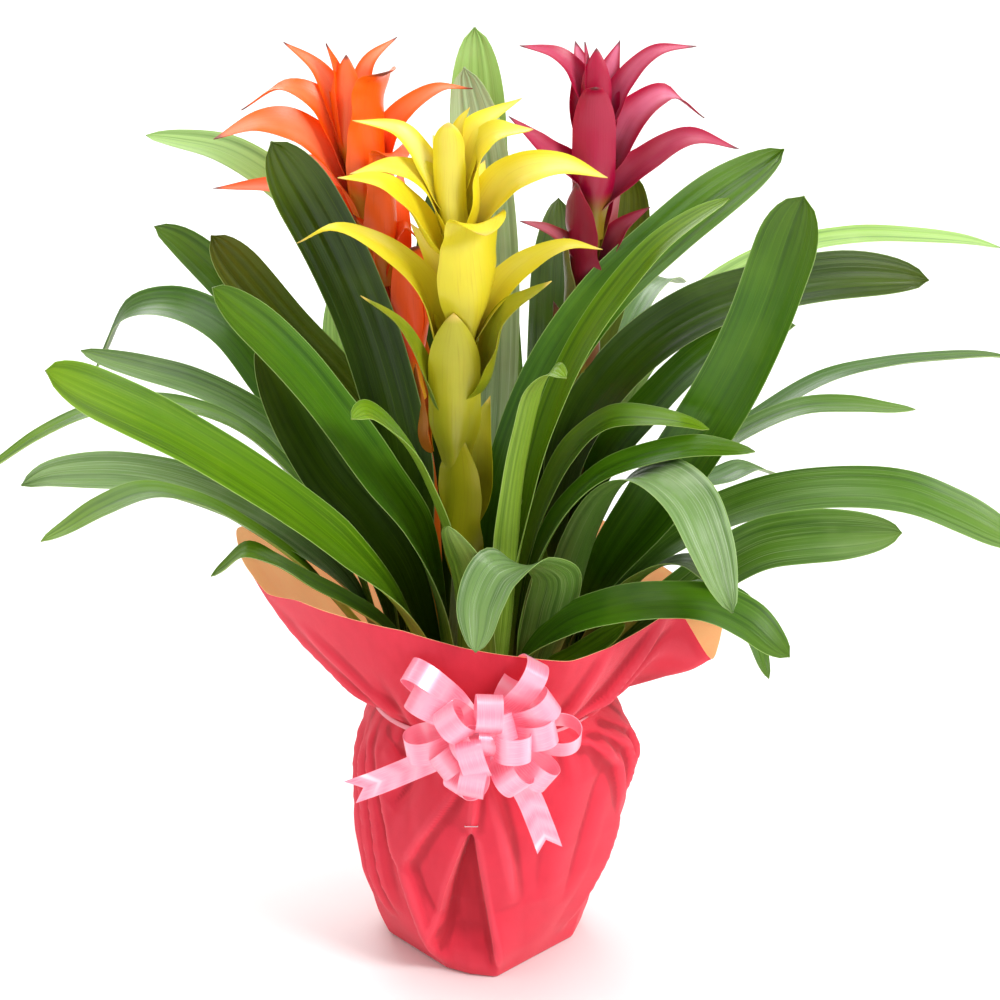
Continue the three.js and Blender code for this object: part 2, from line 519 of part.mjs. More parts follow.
// The staple lies along the front of the cloth, turned as the cloth turns there.
function addStaple() {
  const { crown, wire, across, height } = STAPLE;
  const radius = bodyRadius(height);
  const [left, right] = [-crown / 2, crown / 2].map((aside) => {
    const x = across - WRAP.lean + aside;
    return clothPlace(new THREE.Vector3(x, -Math.sqrt(radius ** 2 - x ** 2), height));
  });
  const bar = new THREE.BoxGeometry(crown, wire, wire).translate(0, -wire / 2 - CLEARANCE, 0);
  bar.rotateZ(Math.atan2(right.y - left.y, right.x - left.x));
  bar.translate((left.x + right.x) / 2, (left.y + right.y) / 2, height);
  addPiece('staple', bar, finish(0xc9c9c9, 0.3));
}

addPiece('pot', potGeometry(), finish(0x3a3a3a, 0.6));
addPiece('soil', soilGeometry(), finish(0x3b2a1c, 0.95));
addPiece('wrapping_cloth', clothGeometry(), finish(0xd8344a, 0.9));
addPiece('tie', tieGeometry(), finish(0xc43a48, 0.7));
addPiece('bow', bowGeometry(), finish(0xf7a0b4, 0.35));
addStaple();
addLeaves();
addSpikes();

export default part;
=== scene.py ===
"""Three bromeliads in one cloth-wrapped pot with a ribbon bow, on a pale floor in soft studio light.

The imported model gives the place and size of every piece. Each leaf is a fine blade that follows its solid's
rings, and the spikes, cloth, bow, tie, staple, pot and soil are modelled where their solids stand.
Lengths are metres, +Z is up, and the side with the bow faces -Y.
"""

from __future__ import annotations

import logging
import math
import random
from dataclasses import dataclass, field
from enum import Enum
from typing import Callable, Sequence

import bmesh
import bpy
import numpy as np
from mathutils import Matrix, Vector, noise


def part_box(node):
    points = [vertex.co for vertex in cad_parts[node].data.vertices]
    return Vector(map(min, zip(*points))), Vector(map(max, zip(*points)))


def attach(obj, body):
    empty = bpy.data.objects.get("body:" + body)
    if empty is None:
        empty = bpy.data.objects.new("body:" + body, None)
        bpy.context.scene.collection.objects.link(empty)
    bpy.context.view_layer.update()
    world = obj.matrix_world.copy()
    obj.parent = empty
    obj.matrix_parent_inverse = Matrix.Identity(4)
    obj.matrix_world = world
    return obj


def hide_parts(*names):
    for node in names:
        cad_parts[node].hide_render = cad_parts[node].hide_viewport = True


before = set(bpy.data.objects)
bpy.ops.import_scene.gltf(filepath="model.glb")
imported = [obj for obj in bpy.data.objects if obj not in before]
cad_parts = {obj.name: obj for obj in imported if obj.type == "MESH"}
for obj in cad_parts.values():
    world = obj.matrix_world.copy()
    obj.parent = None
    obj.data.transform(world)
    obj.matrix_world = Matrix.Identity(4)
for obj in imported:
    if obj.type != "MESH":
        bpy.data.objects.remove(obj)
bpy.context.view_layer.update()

BODY = "root"
MM = 0.001
log = logging.getLogger("bromeliads")

Colour = tuple[float, float, float]
Place = tuple[float, float, float]
Array = np.ndarray
UP = np.array([0.0, 0.0, 1.0])
TO_VIEWER = np.array([0.0, -1.0, 0.0])


# ---- numbers and curves ----


def smooth(low: float, high: float, value: Array | float) -> Array | float:
    """Eases from 0 at low to 1 at high."""
    share = np.clip((value - low) / (high - low), 0.0, 1.0)
    return share * share * (3.0 - 2.0 * share)


def blend(start: Array | float, end: Array | float, share: Array | float) -> Array | float:
    """Goes from start to end as share goes from 0 to 1."""
    return start + (end - start) * share


def unit(rows: Array) -> Array:
    """Scales each row of vectors to length one."""
    return rows / np.maximum(np.linalg.norm(rows, axis=-1, keepdims=True), 1e-12)


def heading(degrees: float) -> Array:
    """The level direction at an angle from +X."""
    return np.array([math.cos(math.radians(degrees)), math.sin(math.radians(degrees)), 0.0])


def turned(vector: Array, axis: Array, degrees: float) -> Array:
    """Turns a vector about an axis by the right-hand rule.

    Args:
        vector: The vector.
        axis: The axis, of any length.
        degrees: How far it turns.

    Returns:
        The turned vector.
    """
    axis = unit(axis)
    angle = math.radians(degrees)
    return (
        vector * math.cos(angle)
        + np.cross(axis, vector) * math.sin(angle)
        + axis * (vector @ axis) * (1 - math.cos(angle))
    )


@dataclass
class Line:
    """A smooth curve through a few points, read by its share of the length.

    Attributes:
        points: The points that it passes through, one a row.
        closed: Whether it comes round to its first point.
        fineness: How many steps each stretch between two points is cut into.
        dense: The fine points along it.
        shares: The share of the length at each fine point.
    """

    points: Array
    closed: bool = False
    fineness: int = 24
    dense: Array = field(init=False)
    shares: Array = field(init=False)

    def __post_init__(self) -> None:
        """Samples the curve finely."""
        points = np.asarray(self.points, float)
        if self.closed:
            points = np.vstack([points[-1], points, points[:2]])
        else:
            points = np.vstack([2 * points[0] - points[1], points, 2 * points[-1] - points[-2]])
        steps = np.linspace(0.0, 1.0, self.fineness, endpoint=False)[:, None]
        rows = [self._stretch(points[i : i + 4], steps) for i in range(len(points) - 3)]
        self.dense = np.vstack([*rows, points[-2]])
        lengths = np.linalg.norm(np.diff(self.dense, axis=0), axis=1)
        self.length = float(lengths.sum())
        self.shares = np.concatenate([[0.0], np.cumsum(lengths)]) / self.length

    @staticmethod
    def _stretch(four: Array, steps: Array) -> Array:
        """The curve between the middle two of four points.

        Args:
            four: The points.
            steps: How far along it is read, from 0 to 1, one a row.

        Returns:
            The points there.
        """
        before, here, there, after = four
        gaps = [max(float(np.linalg.norm(b - a)), 1e-9) ** 0.5 for a, b in zip(four, four[1:])]
        leave = (here - before) / gaps[0] - (there - before) / (gaps[0] + gaps[1]) + (there - here) / gaps[1]
        arrive = (there - here) / gaps[1] - (after - here) / (gaps[1] + gaps[2]) + (after - there) / gaps[2]
        leave, arrive = leave * gaps[1], arrive * gaps[1]
        cubic = 2 * (here - there) + leave + arrive
        square = 3 * (there - here) - 2 * leave - arrive
        return here + leave * steps + square * steps**2 + cubic * steps**3

    def at(self, share: Array | float) -> Array:
        """The points at shares of the length."""
        share = np.atleast_1d(share)
        return np.stack([np.interp(share, self.shares, self.dense[:, i]) for i in range(3)], axis=1)

    def direction(self, share: Array | float, reach: float = 0.012) -> Array:
        """The way that the curve runs at shares of its length."""
        share = np.atleast_1d(share)
        return unit(self.at(np.clip(share + reach, 0, 1)) - self.at(np.clip(share - reach, 0, 1)))


# ---- modelling ----


def deselect() -> None:
    """Leaves nothing selected."""
    if bpy.context.mode != "OBJECT":
        bpy.ops.object.mode_set(mode="OBJECT")
    bpy.ops.object.select_all(action="DESELECT")


def made(name: str) -> bpy.types.Object:
    """Names the piece that was just added or joined.

    Args:
        name: Its name.

    Returns:
        The piece.
    """
    piece = bpy.context.active_object
    piece.name = name
    piece.data.name = name
    return piece


def sheet_grid(name: str, along: int, across: int) -> bpy.types.Object:
    """Adds a flat grid, its X along the sheet and its Y across it, both from -0.5 to 0.5.

    Args:
        name: Its name.
        along: How many steps it has along.
        across: How many steps it has across.

    Returns:
        The grid.
    """
    deselect()
    bpy.ops.mesh.primitive_grid_add(x_subdivisions=along, y_subdivisions=across, size=1.0)
    return made(name)


def coordinates(piece: bpy.types.Object) -> Array:
    """Reads the places of a piece's vertices.

    Args:
        piece: The piece.

    Returns:
        The places, one a row.
    """
    places = np.empty(len(piece.data.vertices) * 3)
    piece.data.vertices.foreach_get("co", places)
    return places.reshape(-1, 3)


def shape(piece: bpy.types.Object, place: Callable[[Array], Array]) -> None:
    """Moves a piece's vertices, all at once.

    Args:
        piece: The piece, whose object sits at the origin.
        place: Gives the new places for the old ones, one a row.
    """
    piece.data.vertices.foreach_set("co", place(coordinates(piece)).astype(np.float32).ravel())
    piece.data.update()


def spread(piece: bpy.types.Object, surface: Callable[[Array, Array], Array]) -> None:
    """Lays a flat grid on a surface.

    Args:
        piece: The grid, from sheet_grid.
        surface: Gives the places for the shares, from 0 to 1, along and across the grid.
    """
    shape(piece, lambda flat: surface(flat[:, 0] + 0.5, flat[:, 1] + 0.5))


def close_seams(piece: bpy.types.Object, distance: float = 1e-6, outwards: bool = True) -> None:
    """Merges vertices that lie together and, for a closed piece, points its faces outwards.

    Args:
        piece: The piece.
        distance: How near vertices lie that are merged, in metres.
        outwards: Whether the faces are turned outwards.
    """
    deselect()
    piece.select_set(True)
    bpy.context.view_layer.objects.active = piece
    bpy.ops.object.mode_set(mode="EDIT")
    bpy.ops.mesh.select_all(action="SELECT")
    bpy.ops.mesh.remove_doubles(threshold=distance)
    if outwards:
        bpy.ops.mesh.normals_make_consistent(inside=False)
    bpy.ops.object.mode_set(mode="OBJECT")


def apply(piece: bpy.types.Object, kind: str, **settings: object) -> None:
    """Adds a modifier to a piece and applies it.

    Args:
        piece: The piece.
        kind: The modifier's kind.
        settings: Its settings.
    """
    deselect()
    piece.select_set(True)
    bpy.context.view_layer.objects.active = piece
    modifier = piece.modifiers.new(kind.title(), kind)
    for setting, value in settings.items():
        setattr(modifier, setting, value)
    bpy.ops.object.modifier_apply(modifier=modifier.name)


def shade(piece: bpy.types.Object, degrees: float = 40.0) -> None:
    """Shades a piece smooth across edges flatter than an angle.

    Args:
        piece: The piece.
        degrees: The angle.
    """
    deselect()
    piece.select_set(True)
    bpy.context.view_layer.objects.active = piece
    bpy.ops.object.shade_smooth_by_angle(angle=math.radians(degrees))


def join(pieces: Sequence[bpy.types.Object], name: str) -> bpy.types.Object:
    """Joins pieces into the first one.

    Args:
        pieces: The pieces.
        name: The name of what they become.

    Returns:
        The joined piece.
    """
    deselect()
    for piece in pieces:
        piece.select_set(True)
    bpy.context.view_layer.objects.active = pieces[0]
    bpy.ops.object.join()
    return made(name)


def mark(piece: bpy.types.Object, attribute: str, values: Array | float) -> None:
    """Gives each vertex of a piece a number that a material can read.

    Args:
        piece: The piece.
        attribute: The number's name.
        values: The numbers, or one for all.
    """
    layer = piece.data.attributes.new(attribute, "FLOAT", "POINT")
    count = len(piece.data.vertices)
    layer.data.foreach_set("value", np.broadcast_to(np.asarray(values, np.float32), (count,)).copy())


def stand_in(piece: bpy.types.Object, slot: str, *nodes: str) -> bpy.types.Object:
    """Makes a finished piece ride on the body and stand for CAD nodes.

    Args:
        piece: The piece.
        slot: Not used.
        nodes: The CAD nodes.

    Returns:
        The piece.
    """
    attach(piece, BODY)
    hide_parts(*nodes)
    log.info("%s: %d faces, stands for %s", piece.name, len(piece.data.polygons), ", ".join(nodes))
    return piece


# ---- materials ----


def srgb(red: float, green: float, blue: float) -> Colour:
    """Turns a screen colour into light.

    Args:
        red: Its red, from 0 to 255.
        green: Its green.
        blue: Its blue.

    Returns:
        The light, from 0 to 1.
    """

    def light(value: float) -> float:
        """Turns one channel into light."""
        value /= 255.0
        return value / 12.92 if value <= 0.04045 else ((value + 0.055) / 1.055) ** 2.4

    return light(red), light(green), light(blue)


class Shader:
    """A material's nodes, added one by one from its inputs to its surface."""

    def __init__(self, name: str) -> None:
        """Starts a material with only its surface shader and output.

        Args:
            name: The material's name.
        """
        self.material = bpy.data.materials.new(name)
        self.material.use_nodes = True
        self.nodes = self.material.node_tree.nodes
        self.links = self.material.node_tree.links
        self.surface = self.nodes["Principled BSDF"]

    def feed(self, socket: bpy.types.NodeSocket, value: object) -> None:
        """Links a socket to another node's output, or sets its value.

        Args:
            socket: The socket.
            value: The output, colour or number.
        """
        if isinstance(value, bpy.types.NodeSocket):
            self.links.new(value, socket)
        elif isinstance(value, tuple) and socket.type == "RGBA":
            socket.default_value = (*value, 1.0)
        else:
            socket.default_value = value

    def set(self, **values: object) -> None:
        """Sets the surface shader's sockets.

        Args:
            values: Their values, under their names in small letters with _ for a space.
        """
        sockets = {socket.name.lower().replace(" ", "_"): socket for socket in self.surface.inputs}
        for name, value in values.items():
            self.feed(sockets[name], value)

    def object_place(self) -> bpy.types.NodeSocket:
        """The place on the piece, in its object's coordinates."""
        return self.nodes.new("ShaderNodeTexCoord").outputs["Object"]

    def uv(self, name: str = "UVMap") -> bpy.types.NodeSocket:
        """Reads the piece's own UV map.

        Args:
            name: The map's name.

        Returns:
            The output with its coordinates.
        """
        node = self.nodes.new("ShaderNodeUVMap")
        node.uv_map = name
        return node.outputs[0]

    def attribute(self, name: str) -> bpy.types.NodeSocket:
        """Reads a number that the piece's vertices carry.

        Args:
            name: The number's name.

        Returns:
            The output with it.
        """
        node = self.nodes.new("ShaderNodeAttribute")
        node.attribute_name = name
        return node.outputs["Fac"]

    def parts(self, vector: bpy.types.NodeSocket) -> list[bpy.types.NodeSocket]:
        """Takes a vector apart.

        Args:
            vector: The vector.

        Returns:
            The outputs with its three numbers.
        """
        node = self.nodes.new("ShaderNodeSeparateXYZ")
        self.feed(node.inputs[0], vector)
        return list(node.outputs)

    def scaled(self, vector: bpy.types.NodeSocket, scale: Sequence[float]) -> bpy.types.NodeSocket:
        """Stretches a vector along each axis.

        Args:
            vector: The vector.
            scale: How much it is stretched along each.

        Returns:
            The output with the stretched vector.
        """
        node = self.nodes.new("ShaderNodeMapping")
        self.feed(node.inputs["Vector"], vector)
        node.inputs["Scale"].default_value = scale
        return node.outputs[0]

    def math(self, operation: str, first: object, second: object = 0.0) -> bpy.types.NodeSocket:
        """Does one sum.

        Args:
            operation: Its name.
            first: The first number or output.
            second: The second.

        Returns:
            The output with the result.
        """
        node = self.nodes.new("ShaderNodeMath")
        node.operation = operation
        self.feed(node.inputs[0], first)
        self.feed(node.inputs[1], second)
        return node.outputs[0]

    def noise(
        self, vector: bpy.types.NodeSocket, scale: float, detail: float = 2.0, seed: object = 0.0
    ) -> bpy.types.NodeSocket:
        """Cloudy noise, from 0 to 1.

        Args:
            vector: The coordinates that it is read at.
            scale: How many clouds there are to a unit.
            detail: How many finer layers are added.
            seed: A number, or an output, that picks the pattern.

        Returns:
            The output with the noise.
        """
        node = self.nodes.new("ShaderNodeTexNoise")
        node.noise_dimensions = "4D"
        for socket, value in (("Vector", vector), ("Scale", scale), ("Detail", detail), ("W", seed)):
            self.feed(node.inputs[socket], value)
        return node.outputs[0]

    def ease(
        self, value: object, low: float, high: float, start: float = 0.0, end: float = 1.0
    ) -> bpy.types.NodeSocket:
        """Eases from one number to another as a value changes.

        Args:
            value: The value.
            low: Where it starts to change.
            high: Where it stops.
            start: The number up to low.
            end: The number from high on.

        Returns:
            The output with the number.
        """
        node = self.nodes.new("ShaderNodeMapRange")
        node.interpolation_type = "SMOOTHSTEP"
        for i, number in enumerate((value, low, high, start, end)):
            self.feed(node.inputs[i], number)
        return node.outputs[0]

    def mix(self, share: object, first: object, second: object, way: str = "MIX") -> bpy.types.NodeSocket:
        """Mixes two colours.

        Args:
            share: How much of the second there is, from 0 to 1.
            first: The first colour or output.
            second: The second.
            way: How they are mixed.

        Returns:
            The output with the mixed colour.
        """
        node = self.nodes.new("ShaderNodeMix")
        node.data_type = "RGBA"
        node.blend_type = way
        self.feed(node.inputs[0], share)
        self.feed(node.inputs[6], first)
        self.feed(node.inputs[7], second)
        return node.outputs[2]

    def ramp(self, value: object, stops: Sequence[tuple[float, Colour]]) -> bpy.types.NodeSocket:
        """Runs through colours.

        Args:
            value: The value that picks the colour.
            stops: The colours, each with its own value.

        Returns:
            The output with the colour.
        """
        node = self.nodes.new("ShaderNodeValToRGB")
        self.feed(node.inputs[0], value)
        elements = node.color_ramp.elements
        while len(elements) < len(stops):
            elements.new(0.5)
        for element, (place, colour) in zip(elements, stops):
            element.position = place
            element.color = (*colour, 1.0)
        return node.outputs[0]

    def bump(self, height: object, depth: float, strength: float = 1.0) -> None:
        """Makes the surface look raised.

        Args:
            height: The output with the height, from 0 to 1.
            depth: How high 1 is, in metres.
            strength: How much of it shows.
        """
        node = self.nodes.new("ShaderNodeBump")
        node.inputs["Strength"].default_value = strength
        node.inputs["Distance"].default_value = depth
        self.feed(node.inputs["Height"], height)
        self.feed(self.surface.inputs["Normal"], node.outputs[0])


class Finish:
    """A finish that a piece's faces can wear."""

    def material(self, name: str) -> bpy.types.Material:
        """Makes the finish a material.

        Args:
            name: The material's name.

        Returns:
            The material.
        """
        shader = Shader(name)
        self.dress(shader)
        return shader.material

    def dress(self, shader: Shader) -> None:
        """Adds the finish's nodes to a new material's shader."""
        raise NotImplementedError


@dataclass(frozen=True)
class LeafFinish(Finish):
    """The colours of one side of a leaf, from its foot to its tip.

    Attributes:
        foot: The colour where it leaves the crown.
        blade: The colour of most of it.
        tip: The colour of its last stretch.
        streak: The colour of its lighter lines.
        gloss: Its roughness.
        ridge: How deep its lines are, in metres.
    """

    foot: Colour
    blade: Colour
    tip: Colour
    streak: Colour
    gloss: float = 0.3
    ridge: float = 0.0003

    def shaded(self) -> Colour:
        """The colour of its lower stretch, which the other leaves keep the light from."""
        red, green, blue = self.blade
        return 0.72 * red, 0.76 * green, 0.8 * blue

    def dress(self, shader: Shader) -> None:
        """Colours a blade by its UV map, its U along and its V across.

        Args:
            shader: The material's shader.
        """
        seed = shader.attribute("seed")
        flat = shader.uv()
        along, across, _ = shader.parts(flat)
        aside = shader.math("ABSOLUTE", shader.math("SUBTRACT", across, 0.5))
        veins = shader.noise(shader.scaled(flat, (4.0, 75.0, 1.0)), 1.0, 3.0, seed)
        bands = shader.noise(shader.scaled(flat, (1.6, 9.0, 1.0)), 1.0, 2.0, seed)
        clouds = shader.noise(shader.object_place(), 22.0, 3.0, seed)
        colour = shader.ramp(
            along,
            [(0.0, self.foot), (0.24, self.shaded()), (0.6, self.blade), (0.8, self.blade), (1.0, self.tip)],
        )
        dark = shader.mix(1.0, colour, (0.5, 0.58, 0.45), "MULTIPLY")
        colour = shader.mix(shader.ease(bands, 0.42, 0.72), colour, dark)
        colour = shader.mix(shader.ease(veins, 0.5, 0.75, 0.0, 0.55), colour, self.streak)
        colour = shader.mix(shader.ease(clouds, 0.5, 0.8, 0.0, 0.35), colour, self.streak)
        margin = shader.ease(aside, 0.48, 0.5, 0.0, 0.4)
        shader.set(
            base_color=shader.mix(margin, colour, srgb(190, 215, 130)),
            roughness=shader.ease(veins, 0.3, 0.8, self.gloss, self.gloss + 0.12),
            specular_ior_level=0.3,
            subsurface_weight=0.12,
            subsurface_radius=(0.4, 1.0, 0.15),
            subsurface_scale=0.0015,
            coat_weight=0.04,
            coat_roughness=0.25,
        )
        lines = shader.math("ADD", veins, shader.math("MULTIPLY", bands, 1.2))
        shader.bump(lines, self.ridge, 0.55)


RIBBED = 0.6 * MM


class LeafLook(Enum):
    """The looks of the leaves, each as its upper side and its underside."""

    BRIGHT = (
        LeafFinish(srgb(154, 176, 28), srgb(86, 128, 6), srgb(108, 144, 18), srgb(130, 164, 34)),
        LeafFinish(srgb(156, 178, 50), srgb(120, 150, 40), srgb(134, 160, 58), srgb(154, 180, 74), 0.38),
    )
    MID = (
        LeafFinish(srgb(128, 152, 20), srgb(62, 106, 4), srgb(80, 114, 14), srgb(98, 140, 26)),
        LeafFinish(srgb(134, 156, 50), srgb(92, 124, 32), srgb(112, 140, 54), srgb(142, 168, 84), 0.38),
    )
    DARK = (
        LeafFinish(srgb(98, 124, 12), srgb(46, 72, 0), srgb(70, 88, 8), srgb(80, 108, 14)),
        LeafFinish(srgb(112, 134, 30), srgb(68, 96, 18), srgb(90, 114, 38), srgb(120, 144, 64), 0.38),
    )
    OLIVE = (
        LeafFinish(srgb(120, 130, 8), srgb(82, 102, 4), srgb(104, 108, 20), srgb(116, 130, 26), 0.36),
        LeafFinish(srgb(138, 142, 32), srgb(112, 122, 22), srgb(128, 128, 46), srgb(148, 154, 64), 0.4),
    )
    PALE = (
        LeafFinish(srgb(168, 190, 66), srgb(146, 184, 84), srgb(160, 196, 108), srgb(188, 214, 140), 0.34),
        LeafFinish(srgb(172, 192, 98), srgb(154, 190, 106), srgb(166, 200, 124), srgb(196, 218, 160), 0.4),
    )
    SILVER = (
        LeafFinish(
            srgb(116, 142, 40), srgb(110, 142, 78), srgb(118, 148, 80), srgb(186, 202, 168), 0.28, RIBBED
        ),
        LeafFinish(
            srgb(108, 138, 40), srgb(92, 128, 48), srgb(116, 148, 80), srgb(150, 172, 108), 0.36, RIBBED
        ),
    )
    FROST = (
        LeafFinish(
            srgb(150, 176, 90), srgb(168, 194, 138), srgb(188, 206, 160), srgb(216, 228, 198), 0.34, RIBBED
        ),
        LeafFinish(
            srgb(140, 166, 84), srgb(150, 180, 118), srgb(174, 196, 144), srgb(206, 220, 186), 0.38, RIBBED
        ),
    )
    # A mid green made lighter, partly a painted sheen that stands in for the shine on these leaves.
    PAINTED_SHEEN = (
        LeafFinish(srgb(124, 152, 26), srgb(80, 120, 28), srgb(104, 138, 52), srgb(146, 174, 104)),
        LeafFinish(srgb(134, 158, 54), srgb(104, 138, 50), srgb(124, 152, 72), srgb(156, 180, 108), 0.38),
    )

    def materials(self) -> tuple[bpy.types.Material, bpy.types.Material]:
        """Makes the look's materials once, for all its leaves to share.

        Returns:
            The upper and the under material.
        """
        found = []
        for side, finish in zip(("upper", "under"), self.value):
            name = f"leaf_{self.name.lower()}_{side}"
            found.append(bpy.data.materials.get(name) or finish.material(name))
        return found[0], found[1]


# ---- blades: leaves and bracts ----


@dataclass
class Blade:
    """A strap that follows a middle line, with a channel along it and a tapered tip.

    Attributes:
        middle: The line from its foot to its tip, along its edges' middle.
        sides: The direction to its one edge at some shares of the length.
        shares: Those shares.
        width: Its full width.
        foot_width: Its width at the foot, as a share of the full width.
        widest: Where it reaches its full width, as a share of the length.
        taper_from: Where its tip starts.
        tip_bend: How round the tip's shoulders are.
        tip_flat: How blunt the tip's end is; less is blunter.
        channel: How far its keel lies below its edges, as a share of the width, at the foot and the tip.
        ridges: How high its lengthways ridges are, in metres.
        ripple: How far its edges wave, as a share of the width.
        thick: Its thickness at the keel.
        seed: Picks its waves and its colours' pattern.
        along: How many steps its mesh has along it.
        across: How many steps its mesh has across it.
    """

    middle: Line
    sides: Array
    shares: Array
    width: float
    foot_width: float = 0.5
    widest: float = 0.45
    taper_from: float = 0.74
    tip_bend: float = 2.1
    tip_flat: float = 0.72
    channel: tuple[float, float] = (0.2, 0.08)
    ridges: float = 0.0
    ripple: float = 0.015
    thick: float = 0.9 * MM
    seed: str = ""
    along: int = 64
    across: int = 24

    def widths(self, share: Array) -> Array:
        """The width of the strap, which ends in a round-shouldered point.

        Args:
            share: The shares of the length.

        Returns:
            The width at each.
        """
        gone = np.clip((share - self.taper_from) / (1.0 - self.taper_from), 0.0, 1.0)
        tip = np.maximum(1.0 - gone**self.tip_bend, 0.0) ** self.tip_flat
        return self.width * blend(self.foot_width, 1.0, smooth(0.04, self.widest, share)) * tip

    def surface(self, share: Array, across: Array) -> Array:
        """The blade's upper face.

        Args:
            share: The shares along it.
            across: The shares across it.

        Returns:
            The place for each pair.
        """
        chance = random.Random(self.seed)
        phases = [chance.uniform(0.0, 2.0 * math.pi) for _ in range(4)]
        share = share ** 0.92
        aside = 2.0 * across - 1.0
        direction = self.middle.direction(share)
        side = np.stack([np.interp(share, self.shares, self.sides[:, i]) for i in range(3)], axis=1)
        side = unit(side - direction * np.sum(side * direction, axis=1, keepdims=True))
        upwards = np.cross(direction, side)
        width = self.widths(share)
        depth = width * blend(self.channel[0], self.channel[1], smooth(0.1, 0.75, share))
        lift = depth * (np.abs(aside) ** 1.7 - 1.0)
        wave = np.sin(2 * math.pi * 2.3 * share + phases[0])
        wave += 0.5 * np.sin(2 * math.pi * 5.1 * share + phases[1])
        lift += width * self.ripple * wave * aside * np.abs(aside) * smooth(0.15, 0.5, share)
        ridged = np.cos(aside * math.pi * 4.5 + phases[2]) + 0.5 * np.cos(aside * math.pi * 8.0 + phases[3])
        lift += self.ridges * ridged * smooth(0.3, 0.9, share) * (1.0 - np.abs(aside) ** 6)
        spread_out = self.middle.at(share) + side * (aside * width / 2)[:, None]
        return spread_out + upwards * lift[:, None]

    def build(self, name: str, materials: Sequence[bpy.types.Material]) -> bpy.types.Object:
        """Models the blade.

        Args:
            name: The piece's name.
            materials: Its upper and under materials.

        Returns:
            The blade as one closed piece.
        """
        piece = sheet_grid(name, self.along, self.across)
        flat = coordinates(piece)
        spread(piece, self.surface)
        group = piece.vertex_groups.new(name="thick")
        for i, aside in enumerate(np.abs(2.0 * flat[:, 1])):
            group.add([i], float(1.0 - aside**4), "REPLACE")
        close_seams(piece, 1e-6, outwards=False)
        for material in materials:
            piece.data.materials.append(material)
        apply(
            piece,
            "SOLIDIFY",
            thickness=self.thick,
            offset=-1.0,
            vertex_group="thick",
            thickness_vertex_group=0.35,
            material_offset=len(materials) - 1,
            material_offset_rim=len(materials) - 1,
        )
        piece.vertex_groups.clear()
        chance = random.Random(self.seed + "colour")
        mark(piece, "seed", chance.uniform(0.0, 50.0))
        shade(piece, 60.0)
        return piece


def blade_rings(node: bpy.types.Object) -> tuple[list[Array], Array]:
    """Finds the rings of four points that a CAD leaf is made of.

    Args:
        node: The CAD leaf.

    Returns:
        The rings from its foot to its tip, and the tip.
    """
    mesh = bmesh.new()
    mesh.from_mesh(node.data)
    bmesh.ops.remove_doubles(mesh, verts=mesh.verts, dist=1e-5)
    front = sorted(mesh.verts, key=lambda v: v.co.z)[:4]
    rings, seen = [], set(front)
    while len(front) == 4:
        rings.append(np.array([v.co[:] for v in front]))
        front = list({e.other_vert(v) for v in front for e in v.link_edges} - seen)
        seen.update(front)
    tip = np.array(front[0].co[:])
    mesh.free()
    return rings, tip


def ring_frame(ring: Array) -> tuple[Array, float]:
    """Reads a ring of a CAD leaf.

    Args:
        ring: Its four points: two edges, and the middles of its two faces.

    Returns:
        The middle of its edges, and their distance.
    """
    pairs = [(i, j) for i in range(4) for j in range(i + 1, 4)]
    left, right = max(pairs, key=lambda pair: np.linalg.norm(ring[pair[0]] - ring[pair[1]]))
    return (ring[left] + ring[right]) / 2, float(np.linalg.norm(ring[right] - ring[left]))


def upright_sides(middles: Array, keels: Array) -> Array:
    """The way to one edge at every ring, picked so that the upper face is the one that the keel is below."""
    return unit(np.cross(unit(middles - keels), unit(np.gradient(middles, axis=0))))


@dataclass
class Leaf:
    """How one leaf looks.

    Attributes:
        look: Its colours.
        ridges: How strongly its blade is ridged, in metres.
        blunt: Where its tip starts to taper.
        turn: How far it twists about its length above its foot, in degrees.
        wide: Its width, as a share of its solid's.
    """

    look: LeafLook = LeafLook.MID
    ridges: float = 0.12 * MM
    blunt: float = 0.8
    turn: float = 0.0
    wide: float = 1.0

    def build(self, node_name: str) -> bpy.types.Object:
        """Models the leaf where its CAD node stands.

        Args:
            node_name: The CAD node.

        Returns:
            The leaf.
        """
        rings, tip = blade_rings(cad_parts[node_name])
        middles, widths = zip(*(ring_frame(ring) for ring in rings))
        middles = np.array(middles)
        sides = upright_sides(middles, np.array([ring.mean(axis=0) for ring in rings]))
        points = np.vstack([middles, tip])
        along = np.concatenate([[0.0], np.cumsum(np.linalg.norm(np.diff(points, axis=0), axis=1))])
        shares = along / along[-1]
        ways = np.gradient(points, axis=0)
        twists = self.turn * smooth(0.0, 0.35, shares)
        sides = [turned(*row) for row in zip(np.vstack([sides, sides[-1]]), ways, twists)]
        blade = Blade(
            middle=Line(points),
            sides=np.array(sides),
            shares=shares,
            width=max(widths) * self.wide,
            taper_from=self.blunt,
            tip_bend=2.3,
            tip_flat=0.62,
            channel=(0.2, 0.1),
            ridges=self.ridges,
            seed=node_name,
        )
        piece = blade.build(node_name.replace("_leaf_", "_blade_"), self.look.materials())
        return stand_in(piece, "leaf", node_name)


@dataclass
class Crown:
    """One plant's rosette of leaves.

    Attributes:
        name: Its plant's name.
        leaves: Its leaves, in their nodes' order.
    """

    name: str
    leaves: list[Leaf]

    def build(self) -> None:
        """Models every leaf of the crown."""
        for number, leaf in enumerate(self.leaves, start=1):
            leaf.build(f"{self.name}_leaf_{number}")


BRIGHT, MID, DARK = LeafLook.BRIGHT, LeafLook.MID, LeafLook.DARK
OLIVE, PALE, SILVER = LeafLook.OLIVE, LeafLook.PALE, LeafLook.SILVER
FROST, PAINTED_SHEEN = LeafLook.FROST, LeafLook.PAINTED_SHEEN
RIDGED = 0.45 * MM

